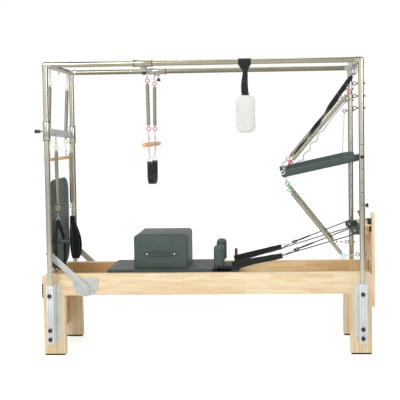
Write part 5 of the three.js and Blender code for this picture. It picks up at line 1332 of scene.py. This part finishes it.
def make_hand_strap():
    """Spring with a foam grip on a webbing triangle, and a long padded loop gathered behind it."""
    body, x, y = "hand_strap_assembly", HAND_X, HAND_Y
    make_spring("hand_strap_coil", body, "hand_spring", [at(x, y, z) for z in (1574, 1516, 1070, 1000)])
    form = Form()

    def front(px, pz):
        return at(px, y - (992 - pz) * 0.16, pz)

    triangle = ((-1119.5, 814), (-1011.5, 814), (-1011.5, 842), (-1094, 986), (-1102, 986), (-1119.5, 842))
    form.band(rounded([front(*p) for p in triangle], 10), Y_AXIS, 26, 3)
    form.ring(at(-1098, y, 989), Y_AXIS, 9, 2.6, "bright", 24, 8)
    form.ring(at(-1108, y - 8, 986), X_AXIS, 8, 2.2, "bright", 22, 8)
    grip = [(11, -55), (13, -52), (13.5, 0), (13, 52), (11, 55)]
    form.capped(grip, front(-1065.5, 827), X_AXIS, "slate_foam", 32)
    way = rounded([at(*p) for p in HAND_WAY], 40, 4, closed=False)
    form.sweep(way, [12.2 + 0.5 * math.sin(i * 1.1) for i in range(len(way))], "webbing", 20)
    for turn in (0.0, 2.4):
        aside = at(11.2 * math.cos(turn + 0.5), -11.2 * math.sin(turn + 0.9), 0)
        form.stitches([p + aside for p in way[6:-6]], 6)
    for low, high in (((-1117, -11, 932), (-1086, 9, 973)), ((-1113, -19, 928), (-1084, 1, 969)),
                      ((-1116, -4, 935), (-1089, 16, 976))):
        form.block((low[0], y + low[1], low[2]), (high[0], y + high[1], high[2]), "webbing", 5)
    form.rod(at(x, y, 976), at(x, y, 998), 3, "steel", 12)
    form.finish("hand_strap_webbing", body, "black_webbing", "hand_strap")


def make_foot_loop():
    """Spring with a wide soft loop: one padded band down the front, round and up the rear."""
    body, x, y = "foot_loop_assembly", FOOT_X, FOOT_Y
    make_spring("foot_loop_coil", body, "foot_spring", [at(x, y, z) for z in (1560, 1492, 1048, 985)])
    form = Form()
    way = [*FOOT_WAY, *((a, -b, c, d) for a, b, c, d in FOOT_WAY[-2::-1])]
    rows = [Vector(a).lerp(Vector(b), i / 6) for a, b in zip(way, way[1:]) for i in range(6)] + [Vector(way[-1])]
    places, widths = [at(a, y - b, c) for a, b, c, _ in rows], [row[3] for row in rows]
    for _ in range(4):
        smooth = [(a + b * 2 + c) / 4 for a, b, c in zip(places, places[1:], places[2:])]
        places = [places[0], *smooth, places[-1]]
    form.strip(places, X_AXIS, 84, 8, widths=widths)
    for share in (0.36, -0.36, 0.08):
        edge = [p + at(w * share, -4.6 if i < len(places) / 2 else 4.6, 0)
                for i, (p, w) in enumerate(zip(places, widths))]
        form.stitches(edge[2:26], 5)
        form.stitches(edge[-26:-2], 5)
    form.sweep([p + at(-w * 0.22, -5.4, 0) for p, w in zip(places[2:26], widths[2:26])], 2.4, "soft_grey", 8)
    form.block((-1110, y - 13, 905), (-1068, y + 13, 966), "webbing", 6)
    form.block((-1106, y - 10, 956), (-1082, y + 10, 972), "webbing", 4)
    form.rod(at(x, y, 966), at(x, y, 984), 3, "steel", 14)
    form.finish("foot_loop_webbing", body, "black_webbing", "foot_loop")


# ---------------------------------------------------------------- trapeze

BRIDGE_X, TRAPEZE_Z = -416, 1530


def make_bridge():
    form, cutter = Form(), Form()
    x, low = BRIDGE_X, 2073
    form.block((x - 23, -342, low), (x + 23, 342, 2078), "steel", 0.8)
    for i in range(-15, 16):
        for row in (-11, 11) if i % 2 else (0,):
            cutter.rod(at(x + row, i * 19.5, 2066), at(x + row, i * 19.5, 2085), 5.2, "steel", 14)
    form.carve(cutter)
    for side in BOTH:
        spot = at(x, side * POST_Y, TOP_Z)
        form.tube(SLEEVE, spot, X_AXIS, "rail_tube", 48)
        # Thin dark-steel rings at each sleeve end: partly real seams, partly painted shade.
        for end in (-66, 63):
            rim = [(24.3, end), (25.4, end + 0.5), (25.4, end + 4.5), (24.3, end + 5)]
            form.tube(rim, spot, X_AXIS, "dark_steel", 48)
        y0, y1 = span(side, 330, 341)
        form.block((x - 23, y0, low), (x + 23, y1, 2092), "steel", 1)
        form.turned([(5, 19.5), (5, 60)], spot + X_AXIS * 6, -Z_AXIS, "steel", 20)
        add_knob(form, spot + at(6, 0, -57), -Z_AXIS, 17, 23)
        add_screw_eye(form, at(x, side * 175, 2061.5), X_AXIS, at(x, side * 175, 2075))
    form.finish("trapeze_slider", "bridge", "tube_steel", "trapeze_bridge")


def make_trapeze():
    body, x, bar, form = "trapeze_assembly", BRIDGE_X, Form(), Form()
    ends = [(HUB, 356), (12, 356), (15, 354), (16, 350)]
    bar.turned(mirrored(ends), at(x, 0, TRAPEZE_Z), Y_AXIS, "trapeze_wood", 40)
    for flank, side in FLANKS:
        y, low_y, ring_y = side * 175, side * 150, side * 108
        places = (at(x, y, 2050), at(x, y, 1997), at(x, low_y, 1646), at(x, low_y, 1547))
        make_spring(f"trapeze_{flank}_coil", body, f"trapeze_spring_{flank}", places, "red")
        bar.tube(mirrored([(16.05, 3), (16.9, 3)]), at(x, low_y, TRAPEZE_Z), Y_AXIS, "steel", 40)
        add_snap(form, at(x, low_y, 1513), at(x, low_y, 1483))
        form.links([at(x, low_y, 1484), at(x, ring_y, 1431)])
        form.ring(at(x, ring_y, 1412), (X_AXIS * 0.3 + Y_AXIS).normalized(), 16.5, 3.6, "bright", 36)
        form.block((x - 22, ring_y - 6, 1380), (x + 22, ring_y + 6, 1404), "black", 2.5)
    bar.finish("trapeze_dowel", body, "grip_wood", "trapeze_bar")
    half, bottom, squareness = 108, 1232, 0.62
    low = []
    for a in [math.pi + math.pi * i / 36 for i in range(37)]:
        across = half * math.copysign(abs(math.cos(a)) ** squareness, math.cos(a))
        low.append(at(x, across, bottom + half - half * abs(math.sin(a)) ** squareness))
    path = filled([at(x, -half, 1402), low[0]], 12) + low[1:] + filled([low[-1], at(x, half, 1402)], 12)[1:]
    form.strip(path, X_AXIS, 46, 6)
    form.strip([p + Z_AXIS * 5 for p in low[3:-3]], X_AXIS, 40, 9, "foam")
    for k in (-19, 19):
        form.stitches([at(x + k, p.y * 1.032, 1340 + (p.z - 1340) * 1.032) for p in low])
    form.finish("sling_webbing", body, "black_webbing", "trapeze_sling")


# ---------------------------------------------------------------- fleece loop


def make_fleece_loop():
    x, y, z = 303, -POST_Y, TOP_Z
    form = Form()
    collar = circle(at(x, y, z), Z_AXIS, Y_AXIS, 21.6, 36)
    form.band(collar, X_AXIS, 90, 3.4, widths=[90 + 3 * math.sin(5 * k) for k in range(36)])
    fall, spans, neck, narrow = [], [], 0.2, 34
    for t in [i / 22 for i in range(23)]:
        fall.append(at(x + 3 * math.sin(7 * t), y, z - 21 - t * 220))
        below = narrow + 18 * math.sin((t - neck) / (1 - neck) * math.pi / 2)
        spans.append(90 * (1 - t / neck) + narrow * t / neck if t < neck else below)
    for lift, scale in ((2.6, 1.0), (-2.4, 0.94)):
        form.strip([p + Y_AXIS * lift for p in fall], X_AXIS, 54, 4.2, widths=[s * scale for s in spans])
    form.block((x - 24, y - 7.5, 1962), (x + 20, y + 7, 1974), "black", 2)
    for k in (-10, 10):
        form.stitches(filled([at(x + k, y - 5.0, 2040), at(x + k, y - 5.0, 1985)], 12))
    form.finish("fleece_loop_webbing", "fleece_loop", "black_webbing", "fleece_strap")
    pad = Form()
    turn = Matrix(((1, 0, 0), (0, 0, -1), (0, 1, 0))).to_4x4()
    place = Matrix.Translation((305, y + 30, 1740)) @ turn
    pad.pad(place, 67, 131, 60, 42, 9, 16, 0.01, "fleece")
    bmesh.ops.subdivide_edges(pad.bm, edges=pad.bm.edges[:], cuts=3, use_grid_fill=True)
    pad.bm.normal_update()
    lumps = ((2.4, 0.034), (1.5, 0.11), (0.7, 0.31))
    for vert in pad.bm.verts:
        vert.co += vert.normal * (sum(size * noise.noise(vert.co * scale) for size, scale in lumps) - 0.4)
    pad.finish_pad("fleece_cuff", "fleece_loop", "fleece_pad", slot="sheepskin", crease=3.0)


# ---------------------------------------------------------------- push-through bar

PIVOT, FREE, ARM_Y = at(POST_X, 0, PIVOT_Z), at(553, 0, 1308), 311
BAR_RUN = (FREE - PIVOT).normalized()
BAR_UP = Vector((BAR_RUN.z, 0, -BAR_RUN.x))
BAR_LENGTH = (FREE - PIVOT).length
EYE_ALONG, EYE_UP = BAR_LENGTH - 26, 25 + 6 + 9
SCALLOPS = ((1000, 1805), (900, 1686), (851, 1614), (821, 1599), (809, 1578), (812, 1548), (794, 1535), (766, 1530),
            (757, 1508), (762, 1479), (745, 1470), (720, 1457), (708, 1435), (716, 1409), (676, 1405))


def on_bar(along, up, y):
    return PIVOT + BAR_RUN * along + BAR_UP * up + at(0, y, 0)


def to_bar(first, last):
    """The body entry of a piece that runs from the frame at first to the push-through bar at last."""
    return BED, "push_through_bar", metres(first), metres(last)


def make_push_bar():
    form, tip = Form(), BAR_LENGTH
    outline = ((-22, -11), (-22, 11), (11, 22), (62, 25), (tip, 25), (tip, -15), (tip - 10, -25), (62, -25), (11, -22))
    flat = [(p.x, p.z) for p in (on_bar(a, u, 0) for a, u in outline)]
    for side in BOTH:
        y, out = side * ARM_Y, Y_AXIS * side
        form.plate(flat, y - 15, y + 15, "slate", 2.2)
        form.drum(5.4, 0, 60, PIVOT + out * ARM_Y, out, "steel", 24)
        form.capped([(12, 0), (13, 1), (13, 4.5), (11, 6)], PIVOT + out * 371.3, out, "black", 32)
        form.heads([on_bar(34, 4, side * 326)], out, 5.5, "black")
        form.ring(on_bar(tip - 14, 10, side * 327), Y_AXIS, 12, 3.0, "bright", 28, 8)
        button = [(HUB, -3), (8.5, -3), (8.5, 1.4), (7, 2.4), (HUB, 2.6)]
        form.turned(button, on_bar(tip - 14, 10, side * 326), out, "black", 24)
        for way in BOTH:
            form.ring(on_bar(EYE_ALONG, way * EYE_UP, y), Y_AXIS, 9, 2.4, "bright")
            form.rod(on_bar(EYE_ALONG, way * 20, y), on_bar(EYE_ALONG, way * (EYE_UP - 8.5), y), 3, "steel", 12)
            add_hex_nut(form, on_bar(EYE_ALONG, way * 24.5, y), BAR_UP * way, 6.5, 4.5)
    form.rod(on_bar(EYE_ALONG, 0, -300), on_bar(EYE_ALONG, 0, 300), 12.5, "steel", 32)
    grip = mirrored([(12.6, 278), (14, 280), (15, 276)])
    form.tube(grip, on_bar(EYE_ALONG, 0, 0), Y_AXIS, "foam", 36)
    form.finish("push_through_arms", "push_through_bar", "black_enamel", "push_bar")


def make_push_springs():
    for flank, side in FLANKS:
        high, low = at(1035, side * 345, 1882), at(619, side * 322, 1393)
        post_eye = at(POST_X - EYE_REACH, side * POST_Y, SPRING_EYE)
        bar_eye = on_bar(EYE_ALONG, EYE_UP, side * ARM_Y)
        places = (toward(post_eye, high, 13), high, low, toward(bar_eye, low, 10))
        make_spring(f"push_upper_{flank}_coil", to_bar(high, low), f"push_spring_upper_{flank}", places, "red")
        first, high, low = (at(x, side * y, z) for x, y, z in ((598, 322, 1238), (610, 322, 1196), (984, 345, 724)))
        post_eye = at(POST_X - LOW_REACH, side * POST_Y, LOW_EYE[side])
        bar_eye = on_bar(EYE_ALONG, -EYE_UP, side * ARM_Y)
        form = Form()
        add_snap(form, toward(bar_eye, first, 10), toward(first, bar_eye, 14))
        form.ring(first, Y_AXIS, *((14, 3, "green") if side < 0 else (10, 2, "bright")))
        add_hanger(form, toward(first, high, 13), high, low, toward(post_eye, low, 13), "green")
        form.finish(f"push_lower_{flank}_coil", to_bar(low, high), "spring_steel", f"push_spring_lower_{flank}")


def make_safety_strap():
    """Wide webbing that hangs with its flat to the front, turns on itself further down and loops round the grip."""
    form, top, grip, last = Form(), at(1093, 0, 2019), on_bar(EYE_ALONG, 0, 0), 60
    low = toward(grip, top, 17)
    run = (low - top).normalized()
    flat = Y_AXIS.cross(run).normalized()
    line = [top.lerp(low, i / last) for i in range(last + 1)]
    section = ((1, 0), (0.94, 1), (0, 1), (-0.94, 1), (-1, 0), (-0.94, -1), (0, -1), (0.94, -1))
    rows = []
    for i, p in enumerate(line):
        t = i / last
        turn = 0.0 if t < 0.3 else 2.6 * math.pi * min(1.0, (t - 0.3) / 0.62)
        half = min(18, 12 + 6 * t / 0.04)
        u = flat * math.cos(turn) + Y_AXIS * math.sin(turn)
        rows.append([p + u * half * across + run.cross(u) * 1.9 * out for across, out in section])
    along = [(p - top).length for p in line]
    form.skin(rows, "webbing", along=along + along[-1:], around=66)
    for k in (-12, 12):
        form.stitches([p + flat * k - Y_AXIS * 2.4 for p in line[3:16:3]], 5)
    for t in (0.09, 0.2):
        form.block_on(top.lerp(low, t), run, flat, (9, 17.5, 3.2), "black")
    form.band(circle(grip, BAR_RUN, BAR_UP, 16.6, 24), Y_AXIS, 30, 2.6)
    form.ring(toward(low, top, 12), Y_AXIS, 17, 3.4, "black", 28, 8)
    form.finish("safety_strap_webbing", to_bar(top, low), "black_webbing", "safety_strap")


def make_chain(name, line, stands_for, look, pitch, wire):
    form = Form()
    form.links(line, look, pitch, wire)
    form.finish(name, to_bar(line[0], line[-1]), "chain_steel", stands_for)


def make_chains():
    line = [at(1057, -POST_Y, 1842), *(at(x, -318, z) for x, z in SCALLOPS), on_bar(476, 27.3, -318)]
    make_chain("scalloped_chain", rounded(line, 12, 4, closed=False), "safety_chain_front", "dark_steel", 6.0, 1.0)
    eye, end = at(POST_X - EYE_REACH, POST_Y, CHAIN_EYE), on_bar(64, 25, 318)
    make_chain("rear_post_chain", [toward(eye, end, 12), end], "safety_chain_rear", "steel", 7.0, 0.9)


# ---------------------------------------------------------------- assembly

for flank, side in FLANKS:
    for make in (make_side_frame, make_quadrant, make_shoulder_rest, make_strap_loop):
        make(flank, side)
    for place, end in ENDS:
        make_post(place, end, flank, side)
        make_socket(place, end, flank, side)
for make in (
    make_end_boards, make_cord_locks, make_leash, make_top_frame, make_anchor_plate, make_pulleys,
    make_carriage_deck, make_wheelsets, make_carriage_pad, make_headrest, make_box, make_carriage_springs, make_footbar,
    make_jump_board, make_crossbar, make_roll_down, make_hand_strap, make_foot_loop, make_bridge, make_trapeze,
    make_fleece_loop, make_push_bar, make_push_springs, make_safety_strap, make_chains,
):
    make()

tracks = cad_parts["carriage_tracks"]
tracks.data.materials.clear()
tracks.data.materials.append(finish["track"])

# ---------------------------------------------------------------- studio


def stage_sheet(name, corners):
    """A four-cornered studio surface with a material of its own."""
    mesh, material = bpy.data.meshes.new(name), bpy.data.materials.new(name)
    mesh.from_pydata(corners, [], [(0, 1, 2, 3)])
    material.use_nodes = True
    mesh.materials.append(material)
    return stand(name, mesh), material.node_tree


def make_floor():
    """Grey paint for the light, nearly white to the camera."""
    reach = 30.0
    corners = ((-reach, -reach, 0), (reach, -reach, 0), (reach, reach, 0), (-reach, reach, 0))
    floor, tree = stage_sheet("studio_floor", corners)
    graph = Graph(tree)
    tree.nodes.clear()
    seen = graph.node("ShaderNodeLightPath", out="Is Camera Ray")
    paint = graph.node("ShaderNodeBsdfDiffuse", {"Color": (0.86, 0.86, 0.86, 1)})
    glow = graph.node("ShaderNodeEmission", {"Color": (1, 1, 1, 1), "Strength": graph.sum("MULTIPLY", seen, 0.48)})
    both = graph.node("ShaderNodeAddShader", {0: paint, 1: glow})
    tree.links.new(both, tree.nodes.new("ShaderNodeOutputMaterial").inputs["Surface"])


def make_world():
    """White all round, a little dimmer for the diffuse light than for what the camera sees."""
    world = bpy.data.worlds.new("studio")
    bpy.context.scene.world = world
    world.use_nodes = True
    graph = Graph(world.node_tree)
    graph.tree.nodes.clear()
    path = graph.tree.nodes.new("ShaderNodeLightPath").outputs
    seen = graph.sum("MAXIMUM", path["Is Camera Ray"], path["Is Glossy Ray"])
    seen = graph.sum("MAXIMUM", seen, path["Is Transmission Ray"])
    level = graph.sum("ADD", graph.sum("MULTIPLY", seen, 0.35), 0.65)
    sky = graph.node("ShaderNodeBackground", {"Color": (1, 1, 1, 1), "Strength": level})
    graph.tree.links.new(sky, graph.tree.nodes.new("ShaderNodeOutputWorld").inputs["Surface"])


def add_lamp(name, size, power, spot, goal):
    data = bpy.data.lights.new(name, "AREA")
    data.shape, data.size, data.energy = "DISK", size, power
    lamp = stand(name, data)
    lamp.location = spot
    lamp.rotation_euler = (Vector(goal) - Vector(spot)).to_track_quat("-Z", "Y").to_euler()
    lamp.visible_camera = False


def add_card(name, corners):
    """A dark studio card that only shows in the metal: no camera, diffuse or shadow ray meets it."""
    card, tree = stage_sheet(name, corners)
    shader = tree.nodes["Principled BSDF"]
    shader.inputs["Base Color"].default_value = (0.03, 0.03, 0.025, 1)
    shader.inputs["Roughness"].default_value = 1.0
    card.visible_camera = card.visible_diffuse = card.visible_shadow = card.visible_transmission = False


make_floor()
make_world()
for side, front in ((-1, 0.2), (1, -1.5)):
    near, far = side * 5, side * 3.5
    add_card(f"side_card_{side}", [(near, front, 0), (far, 4.5, 0), (far, 4.5, 4.5), (near, front, 4.5)])
add_card("back_card", [(-1.1, 5, 2.6), (1.1, 5, 2.6), (1.1, 5, 5.5), (-1.1, 5, 5.5)])
add_card("roof_card", [(-4, -2.5, 5.6), (4, -2.5, 5.6), (4, 5.5, 5.6), (-4, 5.5, 5.6)])
add_lamp("key_softbox", 3.0, 170, (-2.6, -4.2, 4.6), (0, 0, 0.8))
add_lamp("fill_softbox", 3.5, 70, (4.2, -3.4, 3.4), (0, 0, 0.9))
add_lamp("top_softbox", 3.0, 60, (0, 1.0, 5.0), (0, 0, 0.5))
bpy.context.scene.view_settings.view_transform = "Standard"
